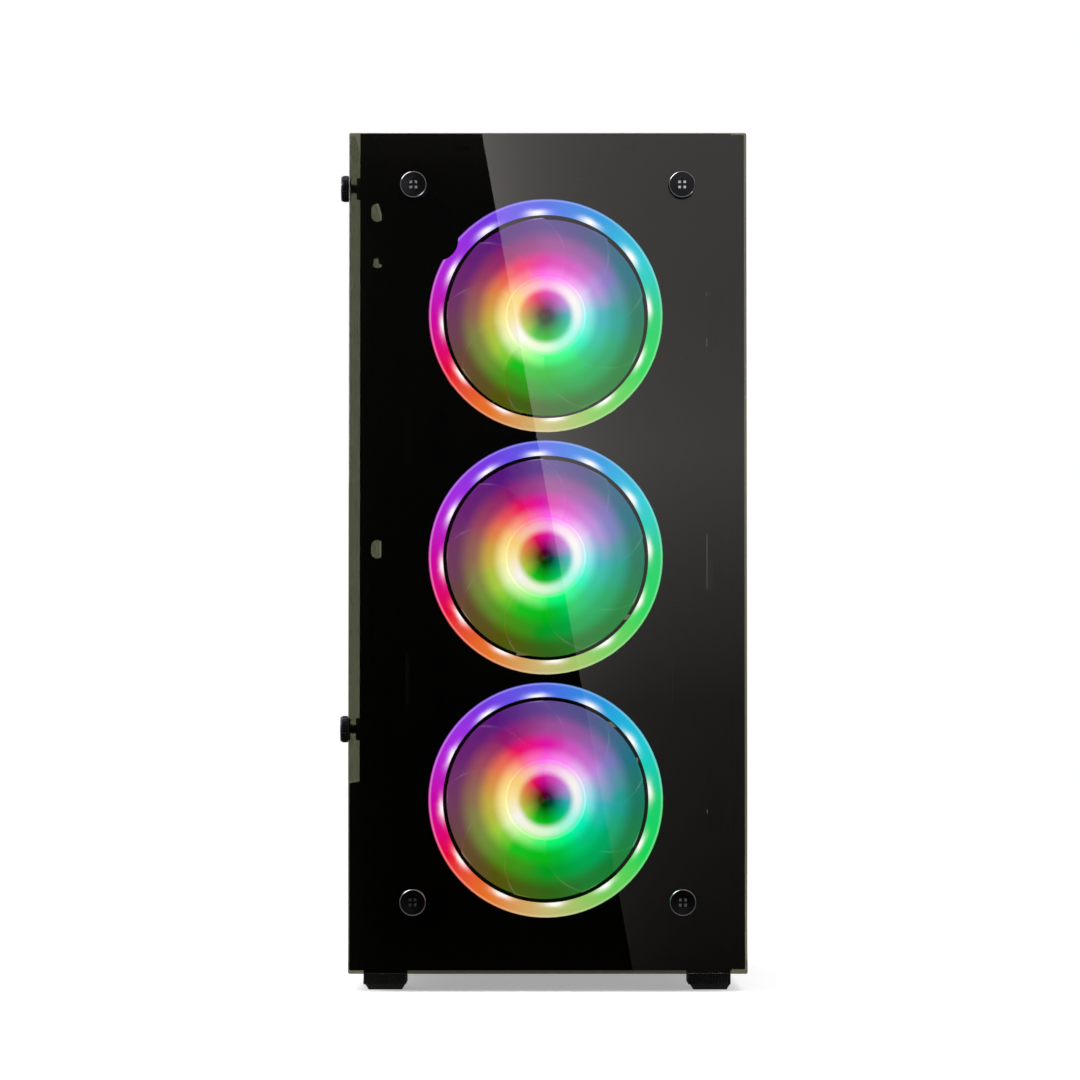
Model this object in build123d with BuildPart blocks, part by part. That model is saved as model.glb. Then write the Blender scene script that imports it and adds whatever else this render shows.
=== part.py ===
from build123d import *
from math import pi, radians, tan
import os

# Desktop computer tower. Millimetres, +Z up. The front glass faces -Y, the side glass faces -X.
# The origin is at the middle of the footprint, on the floor.

# Outer sizes
body_width = 196
glass_height = 414
glass_low = 9
body_depth = 390
sheet = 1
foot_height = 10
side_knob_proud = 4.8
front_knob_proud = 4.5
rear_knob_proud = 8.5

# Front and side glass
front_glass_thickness = 4
side_glass_thickness = 3
glass_gap = 2
front_air_gap = 12
front_screw_spacing = 132.4
front_screw_low = 44
front_screw_high = 397
knob_radius = 6.6
screw_radius = 2
screw_bore = 2.1
side_knob_low = 129
side_knob_high = 398

# Fans of 120 mm
fan_size = 120
fan_depth = 25
fan_hole_pitch = 105
fan_hole_radius = 2.3
fan_heights = (334, 214, 94)
plate_opening_radius = 58
ring_outer = 58
ring_inner = 51
ring_depth = 9
duct_radius = 50.6
impeller_tip = 49.2
hub_radius = 20
hub_skin = 1.8
motor_radius = 16
shaft_radius = 1.5
fan_blades = 9

# Inside
shroud_top = 103
cable_space = 12
side_fold = 6
standoff_height = 6.5
board_thickness = 1.6
board_height = 305
board_depth = 244
slot_pitch = 20.32

# Faces of the case, worked out from the sizes above
mid_x = side_knob_proud / 2
left_x = mid_x - body_width / 2
right_x = mid_x + body_width / 2
front_y = -(body_depth + rear_knob_proud - front_knob_proud) / 2
rear_y = front_y + body_depth
top_z = glass_low + glass_height
frame_left = left_x + side_glass_thickness + glass_gap
frame_right = right_x - side_fold - sheet
fan_x = (frame_left + frame_right) / 2
plate_y = front_y + front_glass_thickness + front_air_gap
frame_low = foot_height
frame_high = top_z + 1.6
fan_front = plate_y + sheet
fan_back = fan_front + fan_depth
rear_inside = rear_y - sheet
top_inside = frame_high - sheet
floor_inside = frame_low + sheet
tray_x = frame_right - cable_space - sheet
board_face = tray_x - standoff_height - board_thickness
board_top = top_inside - 10.6
board_low = board_top - board_height
board_rear = rear_inside - 1.5
board_front = board_rear - board_depth


def block(x, y, z, mode=Mode.ADD):
    """A box between two limits along each axis."""
    middle = tuple((low + high) / 2 for low, high in (x, y, z))
    with Locations(middle):
        Box(x[1] - x[0], y[1] - y[0], z[1] - z[0], mode=mode)


def rod(start, direction, radius, length, mode=Mode.ADD):
    """A round bar from a start point, along a direction."""
    with Locations(Plane(origin=start, z_dir=direction).location):
        Cylinder(radius, length, align=(Align.CENTER, Align.CENTER, Align.MIN), mode=mode)


def octagon(size, cut):
    """The corners of a square with its four corners cut off."""
    half = size / 2
    corners = []
    for turn in range(4):
        for point in (Vector(half, cut - half), Vector(half, half - cut)):
            corners.append(point.rotate(Axis.Z, 90 * turn))
    return [(corner.X, corner.Y) for corner in corners]


def save(part, name):
    """Labels a finished piece and writes its file."""
    part.label = name
    export_step(part, f"parts/{name}.step")
    size = part.bounding_box().size
    print(f"{name}: {len(part.solids())} solids, {size.X:.1f} x {size.Y:.1f} x {size.Z:.1f}")


os.makedirs("parts", exist_ok=True)

screw_xs = (mid_x - front_screw_spacing / 2, mid_x + front_screw_spacing / 2)
front_screw_places = [(x, z) for x in screw_xs for z in (front_screw_low, front_screw_high)]
post_ys = (front_y + 26, rear_y - 22)
side_screw_places = [(y, z) for y in post_ys for z in (side_knob_low, side_knob_high)]

# Front glass: a flat pane with rounded corners and four screw holes
pane_plane = Plane(origin=(mid_x, front_y, glass_low + glass_height / 2), x_dir=(1, 0, 0), z_dir=(0, 1, 0))
with BuildPart() as front_glass:
    with BuildSketch(pane_plane):
        RectangleRounded(body_width, glass_height, 1)
    extrude(amount=front_glass_thickness)
    chamfer(front_glass.faces().filter_by(Axis.Y).edges(), 0.4)
    for x, z in front_screw_places:
        rod((x, front_y, z), (0, 1, 0), screw_radius + 0.8, front_glass_thickness, Mode.SUBTRACT)
save(front_glass.part, "front_glass")

# Front glass screws: low round heads with a cross recess, and a shank into each standoff
with BuildPart() as front_glass_screws:
    for x, z in front_screw_places:
        rod((x, front_y, z), (0, -1, 0), knob_radius, front_knob_proud)
        rod((x, front_y, z), (0, 1, 0), screw_radius, front_glass_thickness + 8)
    heads = front_glass_screws.faces().filter_by(Axis.Y).group_by(Axis.Y)[0]
    chamfer(heads.edges(), 0.8)
    for x, z in front_screw_places:
        recess = Plane(origin=(x, front_y - front_knob_proud, z), x_dir=(1, 0, 0), z_dir=(0, 1, 0))
        with BuildSketch(recess):
            Rectangle(5, 1.2)
            Rectangle(1.2, 5)
        extrude(amount=2, mode=Mode.SUBTRACT)
save(front_glass_screws.part, "front_glass_screws")

# Standoffs that carry the front glass ahead of the front plate
with BuildPart() as front_glass_standoffs:
    for x, z in front_screw_places:
        back_of_glass = (x, front_y + front_glass_thickness, z)
        rod(back_of_glass, (0, 1, 0), 6, front_air_gap)
        rod(back_of_glass, (0, 1, 0), screw_bore, 9, Mode.SUBTRACT)
save(front_glass_standoffs.part, "front_glass_standoffs")

# Front plate: three fan openings, pressed octagons round them, screw slots and folded sides
plate_middle_z = (frame_low + frame_high) / 2
plate_plane = Plane(origin=(fan_x, plate_y, plate_middle_z), x_dir=(-1, 0, 0), z_dir=(0, 1, 0))
fan_places = [(0, height - plate_middle_z) for height in fan_heights]
gap_middles = [(fan_heights[0] + fan_heights[1]) / 2, (fan_heights[1] + fan_heights[2]) / 2]
half_pitch = fan_hole_pitch / 2
ear_angle = 35
ear_radius = 10
ear_reach = 55.2
with BuildPart() as front_plate:
    with BuildSketch(plate_plane):
        Rectangle(frame_right - frame_left, frame_high - frame_low)
        with Locations(*fan_places):
            Circle(plate_opening_radius, mode=Mode.SUBTRACT)
        # A round ear over the edge of the top fan's ring, which stops the fan being fitted upside down
        with Locations((0, fan_heights[0] - plate_middle_z)):
            with PolarLocations(ear_reach + ear_radius, 1, start_angle=ear_angle):
                Circle(ear_radius)
        # Slots that take the screws of the two fans above and below each gap
        for height in gap_middles:
            with Locations((-half_pitch, height - plate_middle_z), (half_pitch, height - plate_middle_z)):
                SlotOverall(38, 5, rotation=90, mode=Mode.SUBTRACT)
        # The outermost screws of the fan column
        outer_heights = (fan_heights[0] + half_pitch, fan_heights[2] - half_pitch)
        for height in outer_heights:
            with Locations((-half_pitch, height - plate_middle_z), (half_pitch, height - plate_middle_z)):
                SlotOverall(18, 5, rotation=90, mode=Mode.SUBTRACT)
        # Cable and mounting holes along both margins, their places taken from the plate's middle
        with Locations((83.4, 385.2 - plate_middle_z), (83.4, 218 - plate_middle_z)):
            SlotOverall(9.1, 6.2, rotation=90, mode=Mode.SUBTRACT)
        with Locations((83.4, 360.2 - plate_middle_z)):
            Circle(2.7, mode=Mode.SUBTRACT)
        with Locations((-83, 332 - plate_middle_z), (-83, 212 - plate_middle_z), (-83, 92 - plate_middle_z)):
            SlotOverall(30, 8, rotation=90, mode=Mode.SUBTRACT)
        for height in gap_middles:
            with Locations((71.5, height + 33 - plate_middle_z), (84.5, height + 33 - plate_middle_z)):
                SlotOverall(16, 6, rotation=90, mode=Mode.SUBTRACT)
            with Locations((-68, height + 39 - plate_middle_z)):
                SlotOverall(11, 2, mode=Mode.SUBTRACT)
            with Locations((-63, height - plate_middle_z), (68, height - plate_middle_z)):
                SlotOverall(26, 3, rotation=90, mode=Mode.SUBTRACT)
        with Locations((-14.4, 401 - plate_middle_z)):
            Circle(6, mode=Mode.SUBTRACT)
        with Locations((41, 417 - plate_middle_z), (-41, 417 - plate_middle_z)):
            Rectangle(7, 2, mode=Mode.SUBTRACT)
        # Small reliefs in the edge of each opening, where the pressing tool was located
        for height in fan_heights:
            with Locations((0, height - plate_middle_z)):
                with PolarLocations(plate_opening_radius, 4, start_angle=55):
                    Rectangle(1.6, 4, mode=Mode.SUBTRACT)
    extrude(amount=sheet)
    # Pressed octagon frames stand proud round each opening
    with BuildSketch(plate_plane):
        with Locations(*fan_places):
            Polygon(*octagon(fan_size - 1, 26), align=None)
            Polygon(*octagon(fan_size - 3, 25.4), align=None, mode=Mode.SUBTRACT)
    extrude(amount=-0.8)
    # Folded edges
    for x in (frame_left, frame_right - sheet):
        block((x, x + sheet), (plate_y, plate_y + 14), (floor_inside, top_inside))
    for y, z in side_screw_places[:2]:
        rod((frame_left - 1, y, z), (1, 0, 0), screw_radius + 0.6, 3, Mode.SUBTRACT)
save(front_plate.part, "front_plate")

# Rear plate: connector window, round field of air holes, expansion slots, power supply opening, folded left edge
window_low_x = board_face - 40.6
window_high_x = board_face + 3.8
window_high_z = board_top - 6
window_low_z = window_high_z - 158.75
rear_fan_x = frame_left + 2 + fan_size / 2
rear_fan_z = board_top - fan_size / 2 - 20
slot_zs = [window_low_z - 14 - slot_pitch * number for number in range(7)]
slot_low_x = board_face - 106
slot_high_x = board_face - 2
tab_x = slot_low_x - 5
supply_width = 150
supply_height = 86
supply_depth = 140
supply_x = frame_left + 12 + supply_width / 2
supply_low = floor_inside + 1
supply_z = supply_low + supply_height / 2
supply_screws = [(supply_x + dx, supply_z + dz) for dx, dz in ((-69, 37), (69, 37), (-69, -27), (69, -37))]
rear_screw_zs = (frame_low + 60, frame_high - 60)
rear_flange_x = frame_right - 6
guard_hole = 3.2
guard_pitch = 8
with BuildPart() as rear_plate:
    block((frame_left, frame_right), (rear_inside, rear_y), (frame_low, frame_high))
    block((frame_left, frame_left + sheet), (rear_y - 34, rear_y), (floor_inside, top_inside))
    block((window_low_x, window_high_x), (rear_inside, rear_y), (window_low_z, window_high_z), Mode.SUBTRACT)
    block((supply_x - 66, supply_x + 66), (rear_inside, rear_y), (supply_z - 33, supply_z + 41), Mode.SUBTRACT)
    for z in slot_zs:
        block((slot_low_x, slot_high_x), (rear_inside, rear_y), (z - 6.4, z + 6.4), Mode.SUBTRACT)
        rod((tab_x, rear_inside, z), (0, 1, 0), 1.8, sheet, Mode.SUBTRACT)
    with BuildSketch(Plane(origin=(rear_fan_x, rear_inside, rear_fan_z), x_dir=(1, 0, 0), z_dir=(0, 1, 0))):
        Circle(guard_hole)
        for ring in range(1, 7):
            with PolarLocations(ring * guard_pitch, 6 * ring):
                Circle(guard_hole)
        with GridLocations(fan_hole_pitch, fan_hole_pitch, 2, 2):
            Circle(fan_hole_radius)
    extrude(amount=sheet, mode=Mode.SUBTRACT)
    for x, z in supply_screws:
        rod((x, rear_inside, z), (0, 1, 0), 1.9, sheet, Mode.SUBTRACT)
    for z in rear_screw_zs:
        rod((rear_flange_x, rear_inside, z), (0, 1, 0), screw_bore, sheet, Mode.SUBTRACT)
    for y, z in side_screw_places[2:]:
        rod((frame_left - 1, y, z), (1, 0, 0), screw_radius + 0.6, 3, Mode.SUBTRACT)
save(rear_plate.part, "rear_plate")

# Bottom plate: power supply air opening, drive cage seat, folded sides
inner_low_y = plate_y + sheet
fan_opening = 54
supply_fan_y = rear_inside - supply_depth / 2
with BuildPart() as bottom_plate:
    block((frame_left, frame_right), (inner_low_y, rear_inside), (frame_low, floor_inside))
    for x in (frame_left, frame_right - sheet):
        block((x, x + sheet), (inner_low_y + 14, rear_y - 35), (floor_inside, floor_inside + 10))
    rod((supply_x, supply_fan_y, frame_low), (0, 0, 1), fan_opening, sheet, Mode.SUBTRACT)
    # Rails that hold the lower dust filter
    for side in (-1, 1):
        edge = supply_x + side * 58.4
        wall = sorted((edge, edge + side * 1.6))
        lip = sorted((edge - side * 3, edge + side * 1.6))
        block(wall, (supply_fan_y - 60, rear_y - 10), (frame_low - 4.4, frame_low))
        block(lip, (supply_fan_y - 60, rear_y - 10), (frame_low - 4.4, frame_low - 3.3))
save(bottom_plate.part, "bottom_plate")

# Top plate: rows of air slots for two fans, the opening for the control strip, folded sides
strip_low_y = plate_y + 17
strip_high_y = strip_low_y + 24
strip_half = 62
with BuildPart() as top_plate:
    block((frame_left, frame_right), (inner_low_y, rear_inside), (top_inside, frame_high))
    for x in (frame_left, frame_right - sheet):
        block((x, x + sheet), (inner_low_y + 14, rear_y - 35), (top_inside - 4, top_inside))
    block((mid_x - strip_half + 3, mid_x + strip_half - 3), (strip_low_y + 3, strip_high_y - 3),
          (top_inside, frame_high), Mode.SUBTRACT)
    with BuildSketch(Plane.XY.offset(top_inside)):
        with Locations((mid_x, 12)):
            with GridLocations(58, 9, 2, 26):
                SlotOverall(50, 5)
    extrude(amount=sheet, mode=Mode.SUBTRACT)
save(top_plate.part, "top_plate")

# Motherboard tray: processor cut-out and two cable openings, hung between the shroud and the top
processor_y = board_rear - 94
processor_z = board_top - 82
cable_slot_y = board_front - 34
with BuildPart() as motherboard_tray:
    block((tray_x, tray_x + sheet), (board_front - 56, rear_inside), (shroud_top, top_inside))
    with BuildSketch(Plane(origin=(tray_x, 0, 0), x_dir=(0, 1, 0), z_dir=(1, 0, 0))):
        with Locations((processor_y, processor_z)):
            RectangleRounded(90, 90, 8)
        with Locations((cable_slot_y, board_top - 105), (cable_slot_y, board_low + 70)):
            SlotOverall(80, 18, rotation=90)
    extrude(amount=sheet, mode=Mode.SUBTRACT)
save(motherboard_tray.part, "motherboard_tray")

# Shroud deck over the power supply, with cable openings and a turned-down front edge
shroud_front = fan_back + 4
card_z = slot_zs[0] + 6
card_length = 236
card_front = rear_inside - card_length
card_plug_y = card_front + 26
card_edge_x = board_face - 112
card_cable_x = card_edge_x - 34
supply_front = rear_inside - supply_depth
with BuildPart() as psu_shroud:
    block((frame_left + sheet, tray_x + sheet), (shroud_front, rear_inside), (shroud_top - sheet, shroud_top))
    block((frame_left + sheet, tray_x + sheet), (shroud_front, shroud_front + sheet), (floor_inside, shroud_top))
    block((frame_left + 12, tray_x - 20), (shroud_front, shroud_front + sheet), (floor_inside + 8, shroud_top - 16),
          Mode.SUBTRACT)
    with BuildSketch(Plane.XY.offset(shroud_top - sheet)):
        with Locations((card_cable_x, card_plug_y)):
            SlotOverall(44, 22, rotation=90)
        with Locations((mid_x, rear_inside - 60)):
            with GridLocations(9, 0, 11, 1):
                SlotOverall(60, 4, rotation=90)
    extrude(amount=sheet, mode=Mode.SUBTRACT)
save(psu_shroud.part, "psu_shroud")

# Lower side skirt: a folded steel strip, flush with the side glass above it
skirt_front = plate_y
with BuildPart() as lower_side_skirt:
    block((left_x, frame_left), (skirt_front, rear_y), (frame_low, shroud_top - 0.5))
    block((left_x + sheet, frame_left), (skirt_front + sheet, rear_y - sheet),
          (frame_low + sheet, shroud_top - 0.5 - sheet), Mode.SUBTRACT)
    fillet(lower_side_skirt.edges().filter_by(Axis.Y).group_by(Axis.X)[0], 0.8)
save(lower_side_skirt.part, "lower_side_skirt")

# Side glass: clear pane with rounded corners and four screw holes
side_low_z = shroud_top + 0.5
side_high_z = top_z - 1
side_front_y = front_y + front_glass_thickness + 1
side_middle_y = (side_front_y + rear_y) / 2
side_plane = Plane(origin=(left_x, side_middle_y, (side_low_z + side_high_z) / 2), x_dir=(0, 1, 0), z_dir=(1, 0, 0))
with BuildPart() as side_glass:
    with BuildSketch(side_plane):
        RectangleRounded(rear_y - side_front_y, side_high_z - side_low_z, 3)
    extrude(amount=side_glass_thickness)
    chamfer(side_glass.faces().filter_by(Axis.X).edges(), 0.4)
    for y, z in side_screw_places:
        rod((left_x, y, z), (1, 0, 0), screw_radius + 0.5, side_glass_thickness, Mode.SUBTRACT)
save(side_glass.part, "side_glass")

# Rubber washers between the side glass and the frame
with BuildPart() as side_glass_washers:
    for y, z in side_screw_places:
        rod((left_x + side_glass_thickness, y, z), (1, 0, 0), 5.5, glass_gap - 0.2)
        rod((left_x + side_glass_thickness, y, z), (1, 0, 0), screw_bore, glass_gap, Mode.SUBTRACT)
save(side_glass_washers.part, "side_glass_washers")

# Side thumbscrews: knurled heads outside the glass, shanks reaching into the posts
with BuildPart() as side_thumbscrews:
    for y, z in side_screw_places:
        rod((left_x, y, z), (-1, 0, 0), 4.7, 1)
        rod((left_x - 1, y, z), (-1, 0, 0), knob_radius, side_knob_proud - 1)
        rod((left_x, y, z), (1, 0, 0), screw_radius, side_glass_thickness + glass_gap + 6)
    chamfer(side_thumbscrews.faces().filter_by(Axis.X).group_by(Axis.X)[0].edges(), 0.8)
save(side_thumbscrews.part, "side_thumbscrews")

# Threaded posts inside the frame's folded edges
with BuildPart() as side_glass_posts:
    for y, z in side_screw_places:
        rod((frame_left + sheet, y, z), (1, 0, 0), 4.5, 8)
        rod((frame_left + sheet, y, z), (1, 0, 0), screw_bore, 8, Mode.SUBTRACT)
save(side_glass_posts.part, "side_glass_posts")

# Right side panel: a folded tray that closes the cable space and slides rearwards to come off
panel_outer = right_x - 0.5
panel_inner = frame_right + 0.3
with BuildPart() as right_side_panel:
    block((panel_inner, panel_outer), (plate_y + 0.5, rear_y), (frame_low + 0.5, frame_high - 0.5))
    block((panel_inner, panel_outer - sheet), (plate_y + 0.5 + sheet, rear_y - sheet),
          (frame_low + 0.5 + sheet, frame_high - 0.5 - sheet), Mode.SUBTRACT)
    fillet(right_side_panel.edges().filter_by(Axis.Z).group_by(Axis.X)[-1], 0.8)
    fillet(right_side_panel.edges().filter_by(Axis.Y).group_by(Axis.X)[-1], 0.8)
    for z in rear_screw_zs:
        block((rear_flange_x - 7, panel_inner + 1), (rear_y + 0.2, rear_y + 1.2), (z - 12, z + 12))
        block((panel_inner, panel_inner + 1), (rear_y - sheet, rear_y + 1.2), (z - 12, z + 12))
        rod((rear_flange_x, rear_y, z), (0, 1, 0), screw_radius + 0.3, 2, Mode.SUBTRACT)
save(right_side_panel.part, "right_side_panel")

# Thumbscrews that hold the right panel at the back
with BuildPart() as right_panel_thumbscrews:
    for z in rear_screw_zs:
        rod((rear_flange_x, rear_y + 1.2, z), (0, 1, 0), 5.5, rear_knob_proud - 1.2)
        rod((rear_flange_x, rear_y + 1.2, z), (0, -1, 0), screw_radius, 8)
    chamfer(right_panel_thumbscrews.faces().filter_by(Axis.Y).group_by(Axis.Y)[-1].edges(), 0.8)
save(right_panel_thumbscrews.part, "right_panel_thumbscrews")


# Fans. Each is built on a plane whose origin is at the middle of its front face, facing along the air flow.
def fan_frame(plane, ring_seat):
    """Square frame with a round duct, corner screw holes and a motor seat on four struts."""
    with BuildPart(plane) as frame:
        with BuildSketch(plane):
            RectangleRounded(fan_size - 0.4, fan_size - 0.4, 7)
            Circle(duct_radius, mode=Mode.SUBTRACT)
            with GridLocations(fan_hole_pitch, fan_hole_pitch, 2, 2):
                Circle(fan_hole_radius, mode=Mode.SUBTRACT)
        extrude(amount=fan_depth)
        with BuildSketch(plane.offset(fan_depth - 3)):
            Circle(hub_radius + 0.5)
            with PolarLocations(0, 4, start_angle=20):
                Rectangle(duct_radius + 1, 5, align=(Align.MIN, Align.CENTER))
        extrude(amount=3)
        if ring_seat:
            with Locations((0, 0, ring_depth / 2)):
                Cylinder(ring_outer + 0.1, ring_depth, mode=Mode.SUBTRACT)
    return frame.part


def light_ring(plane):
    """Diffuser ring that sits in the front of the frame."""
    with BuildPart() as ring:
        with BuildSketch(plane):
            Circle(ring_outer)
            Circle(ring_inner, mode=Mode.SUBTRACT)
        extrude(amount=ring_depth)
    return ring.part


def fan_motor(plane, depth, radius):
    """Motor and its fixed shaft, standing on the frame's seat at the given depth."""
    with BuildPart(plane) as motor:
        with Locations((0, 0, depth - 7)):
            Cylinder(radius, 7, align=(Align.CENTER, Align.CENTER, Align.MIN))
        with Locations((0, 0, depth - 15)):
            Cylinder(shaft_radius, 8, align=(Align.CENTER, Align.CENTER, Align.MIN))
    return motor.part


def blade(inner, outer, span, depth, skin):
    """One twisted blade reaching from the hub to past the tip, its rise along +Z."""
    with BuildPart() as one_blade:
        for radius, rise, bow in ((inner, depth, 1.2), (outer, depth * 0.7, 2.4)):
            half = span * radius / 2
            with BuildSketch(Plane(origin=(radius, 0, 0), x_dir=(0, 1, 0), z_dir=(1, 0, 0))):
                with BuildLine():
                    ThreePointArc((-half, rise), (0, rise / 2 + bow), (half, 0))
                    Line((half, 0), (half, skin))
                    ThreePointArc((half, skin), (0, rise / 2 + bow + skin), (-half, rise + skin))
                    Line((-half, rise + skin), (-half, rise))
                make_face()
        loft()
    return one_blade.part


def impeller(plane, tip, hub, front, depth, count):
    """Hub cup with a shaft bore, and twisted blades all round it."""
    span = 2 * pi / count * 0.86
    one_blade = blade(hub - 1, tip + 2, span, depth - 6, 1.3)
    with BuildPart(plane) as wheel:
        with Locations((0, 0, front + 1.5)):
            with PolarLocations(0, count):
                add(one_blade)
        with Locations((0, 0, front + depth / 2)):
            Cylinder(tip, depth, mode=Mode.INTERSECT)
        with Locations((0, 0, front)):
            Cylinder(hub, depth, align=(Align.CENTER, Align.CENTER, Align.MIN))
        with Locations((0, 0, front + hub_skin)):
            Cylinder(hub - hub_skin, depth, align=(Align.CENTER, Align.CENTER, Align.MIN), mode=Mode.SUBTRACT)
        with Locations((0, 0, front + hub_skin)):
            Cylinder(shaft_radius + 2, depth - 13, align=(Align.CENTER, Align.CENTER, Align.MIN))
        with Locations((0, 0, front + hub_skin)):
            Cylinder(shaft_radius + 0.05, depth, align=(Align.CENTER, Align.CENTER, Align.MIN), mode=Mode.SUBTRACT)
    return wheel.part


fan_planes = []
for number, height in enumerate(fan_heights, 1):
    plane = Plane(origin=(fan_x, fan_front, height), x_dir=(1, 0, 0), z_dir=(0, 1, 0))
    fan_planes.append(plane)
    save(fan_frame(plane, True), f"fan_{number}_frame")
    save(light_ring(plane), f"fan_{number}_light_ring")
    save(impeller(plane, impeller_tip, hub_radius, 2, 18, fan_blades), f"fan_{number}_impeller")

# Rear fan, blowing out through the guard in the rear plate
rear_plane = Plane(origin=(rear_fan_x, rear_inside - fan_depth, rear_fan_z), x_dir=(1, 0, 0), z_dir=(0, 1, 0))
save(fan_frame(rear_plane, False), "rear_fan_frame")
save(impeller(rear_plane, impeller_tip, hub_radius, 2, 18, fan_blades), "rear_fan_impeller")

# Processor cooler: fan ahead of the fin stack, blowing rearwards
stack_depth = 48
stack_front = processor_y - stack_depth / 2
cooler_x = board_face - 82
cooler_plane = Plane(origin=(cooler_x, stack_front - fan_depth, processor_z), x_dir=(1, 0, 0), z_dir=(0, 1, 0))
save(fan_frame(cooler_plane, False), "cooler_fan_frame")
save(impeller(cooler_plane, impeller_tip, hub_radius, 2, 18, fan_blades), "cooler_impeller")

with BuildPart() as fan_motors:
    for plane in (*fan_planes, rear_plane, cooler_plane):
        add(fan_motor(plane, fan_depth - 3, motor_radius))
save(fan_motors.part, "fan_motors")

# Screws that hold the four case fans, with low heads on the plate side
with BuildPart() as fan_screws:
    for x, z in ((dx, dz) for dx in (-half_pitch, half_pitch) for dz in (-half_pitch, half_pitch)):
        for height in fan_heights:
            rod((fan_x + x, plate_y, height + z), (0, -1, 0), 4.2, 2)
            rod((fan_x + x, plate_y, height + z), (0, 1, 0), 2.2, 10)
        rod((rear_fan_x + x, rear_y, rear_fan_z + z), (0, 1, 0), 4.2, 2)
        rod((rear_fan_x + x, rear_y, rear_fan_z + z), (0, -1, 0), 2.2, 10)
save(fan_screws.part, "fan_screws")

# Motherboard with its sockets; the board's face looks towards the side glass
memory_ys = [processor_y - 58 - 9.5 * number for number in range(4)]
memory_middle_z = board_top - 80
card_slot_ys = (board_rear - 142, board_rear - 52)
holes_y = (board_rear - 10, board_rear - 130, board_front + 8)
holes_z = (board_top - 10, board_top - 165, board_low + 12)
with BuildPart() as motherboard:
    block((board_face, board_face + board_thickness), (board_front, board_rear), (board_low, board_top))
    block((board_face - 5, board_face), (processor_y - 24, processor_y + 24), (processor_z - 26, processor_z + 26))
    for y in memory_ys:
        block((board_face - 7, board_face), (y - 3, y + 3), (memory_middle_z - 71, memory_middle_z + 71))
    for z in (slot_zs[0], slot_zs[3], slot_zs[5]):
        block((board_face - 11, board_face), card_slot_ys, (z + 2, z + 9))
    block((board_face - 12, board_face), (board_front, board_front + 9), (board_top - 150, board_top - 98))
    block((board_face - 11, board_face), (board_rear - 62, board_rear - 44), (board_top - 10, board_top))
    for z in (board_low + 60, board_low + 76):
        block((board_face - 9, board_face), (board_front, board_front + 12), (z - 7, z + 7))
    block((board_face - 3, board_face), (card_slot_ys[0], card_slot_ys[0] + 80), (slot_zs[1] - 8, slot_zs[1] + 14))
    for y in memory_ys[:3:2]:
        block((board_face - 7, board_face - 1), (y - 0.8, y + 0.8), (memory_middle_z - 67, memory_middle_z + 67),
              Mode.SUBTRACT)
    block((board_face - 11, board_face - 2), (card_slot_ys[0] + 3, card_slot_ys[1] - 3),
          (card_z - 0.9, card_z + 0.9), Mode.SUBTRACT)
    for y in holes_y:
        for z in holes_z:
            rod((board_face - 0.1, y, z), (1, 0, 0), 2, 3, Mode.SUBTRACT)
save(motherboard.part, "motherboard")

# Brass standoffs under the board, each with its screw above
with BuildPart() as board_standoffs:
    for y in holes_y:
        for z in holes_z:
            rod((board_face + board_thickness, y, z), (1, 0, 0), 3, standoff_height)
            rod((board_face + board_thickness, y, z), (-1, 0, 0), 1.5, board_thickness)
            rod((board_face, y, z), (-1, 0, 0), 3, 2)
save(board_standoffs.part, "board_standoffs")

# Memory modules: a spreader on each side of a thin circuit board
with BuildPart() as memory_modules:
    for y in memory_ys[:3:2]:
        block((board_face - 38, board_face - 7.1), (y - 3.4, y + 3.4), (memory_middle_z - 66, memory_middle_z + 66))
        block((board_face - 7.1, board_face - 2), (y - 0.6, y + 0.6), (memory_middle_z - 65, memory_middle_z + 65))
save(memory_modules.part, "memory_modules")

# Heat sinks on the board: two beside the processor, one low at the front
sink_low_y = processor_y + 34
with BuildPart() as board_heatsinks:
    block((board_face - 30, board_face), (sink_low_y, sink_low_y + 22), (processor_z - 46, processor_z + 46))
    for number in range(7):
        z = processor_z - 38 + number * 12
        block((board_face - 30, board_face - 8), (sink_low_y, sink_low_y + 22), (z, z + 4), Mode.SUBTRACT)
    block((board_face - 8, board_face), (board_front + 22, board_front + 84), (board_low + 22, board_low + 74))
    for number in range(5):
        y = board_front + 31 + number * 9
        block((board_face - 8, board_face - 4), (y, y + 4), (board_low + 22, board_low + 74), Mode.SUBTRACT)
save(board_heatsinks.part, "board_heatsinks")

# Connectors at the back of the board, behind a shield plate
port_back = board_rear - 22
stack_low = window_low_z + 5
with BuildPart() as rear_io_ports:
    block((window_low_x + 0.3, window_high_x - 0.3), (rear_inside + 0.1, rear_y - 0.1),
          (window_low_z + 0.3, window_high_z - 0.3))
    for number, height in enumerate((14, 16, 16, 16, 16, 22, 22)):
        low = stack_low + sum((14, 16, 16, 16, 16, 22, 22)[:number]) + number * 3
        depth = 30 if number else 14
        block((board_face - depth, board_face), (port_back, rear_y + 1.5), (low, low + height))
        if height == 16 and number % 2:
            for shelf in (board_face - 9, board_face - 17, board_face - 25):
                block((shelf - 2.8, shelf + 2.8), (rear_y - 12, rear_y + 2), (low + 1.4, low + 14.6), Mode.SUBTRACT)
                block((shelf - 1, shelf + 1), (rear_y - 12, rear_y), (low + 1.9, low + 14.1))
        if number == 2:
            block((board_face - 26, board_face - 14), (rear_y - 14, rear_y + 2), (low + 3, low + 13), Mode.SUBTRACT)
        if height == 22:
            for x in (board_face - 8, board_face - 22):
                for z in (low + 5.5, low + 16.5):
                    rod((x, rear_y + 2, z), (0, -1, 0), 1.8, 14, Mode.SUBTRACT)
save(rear_io_ports.part, "rear_io_ports")

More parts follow.
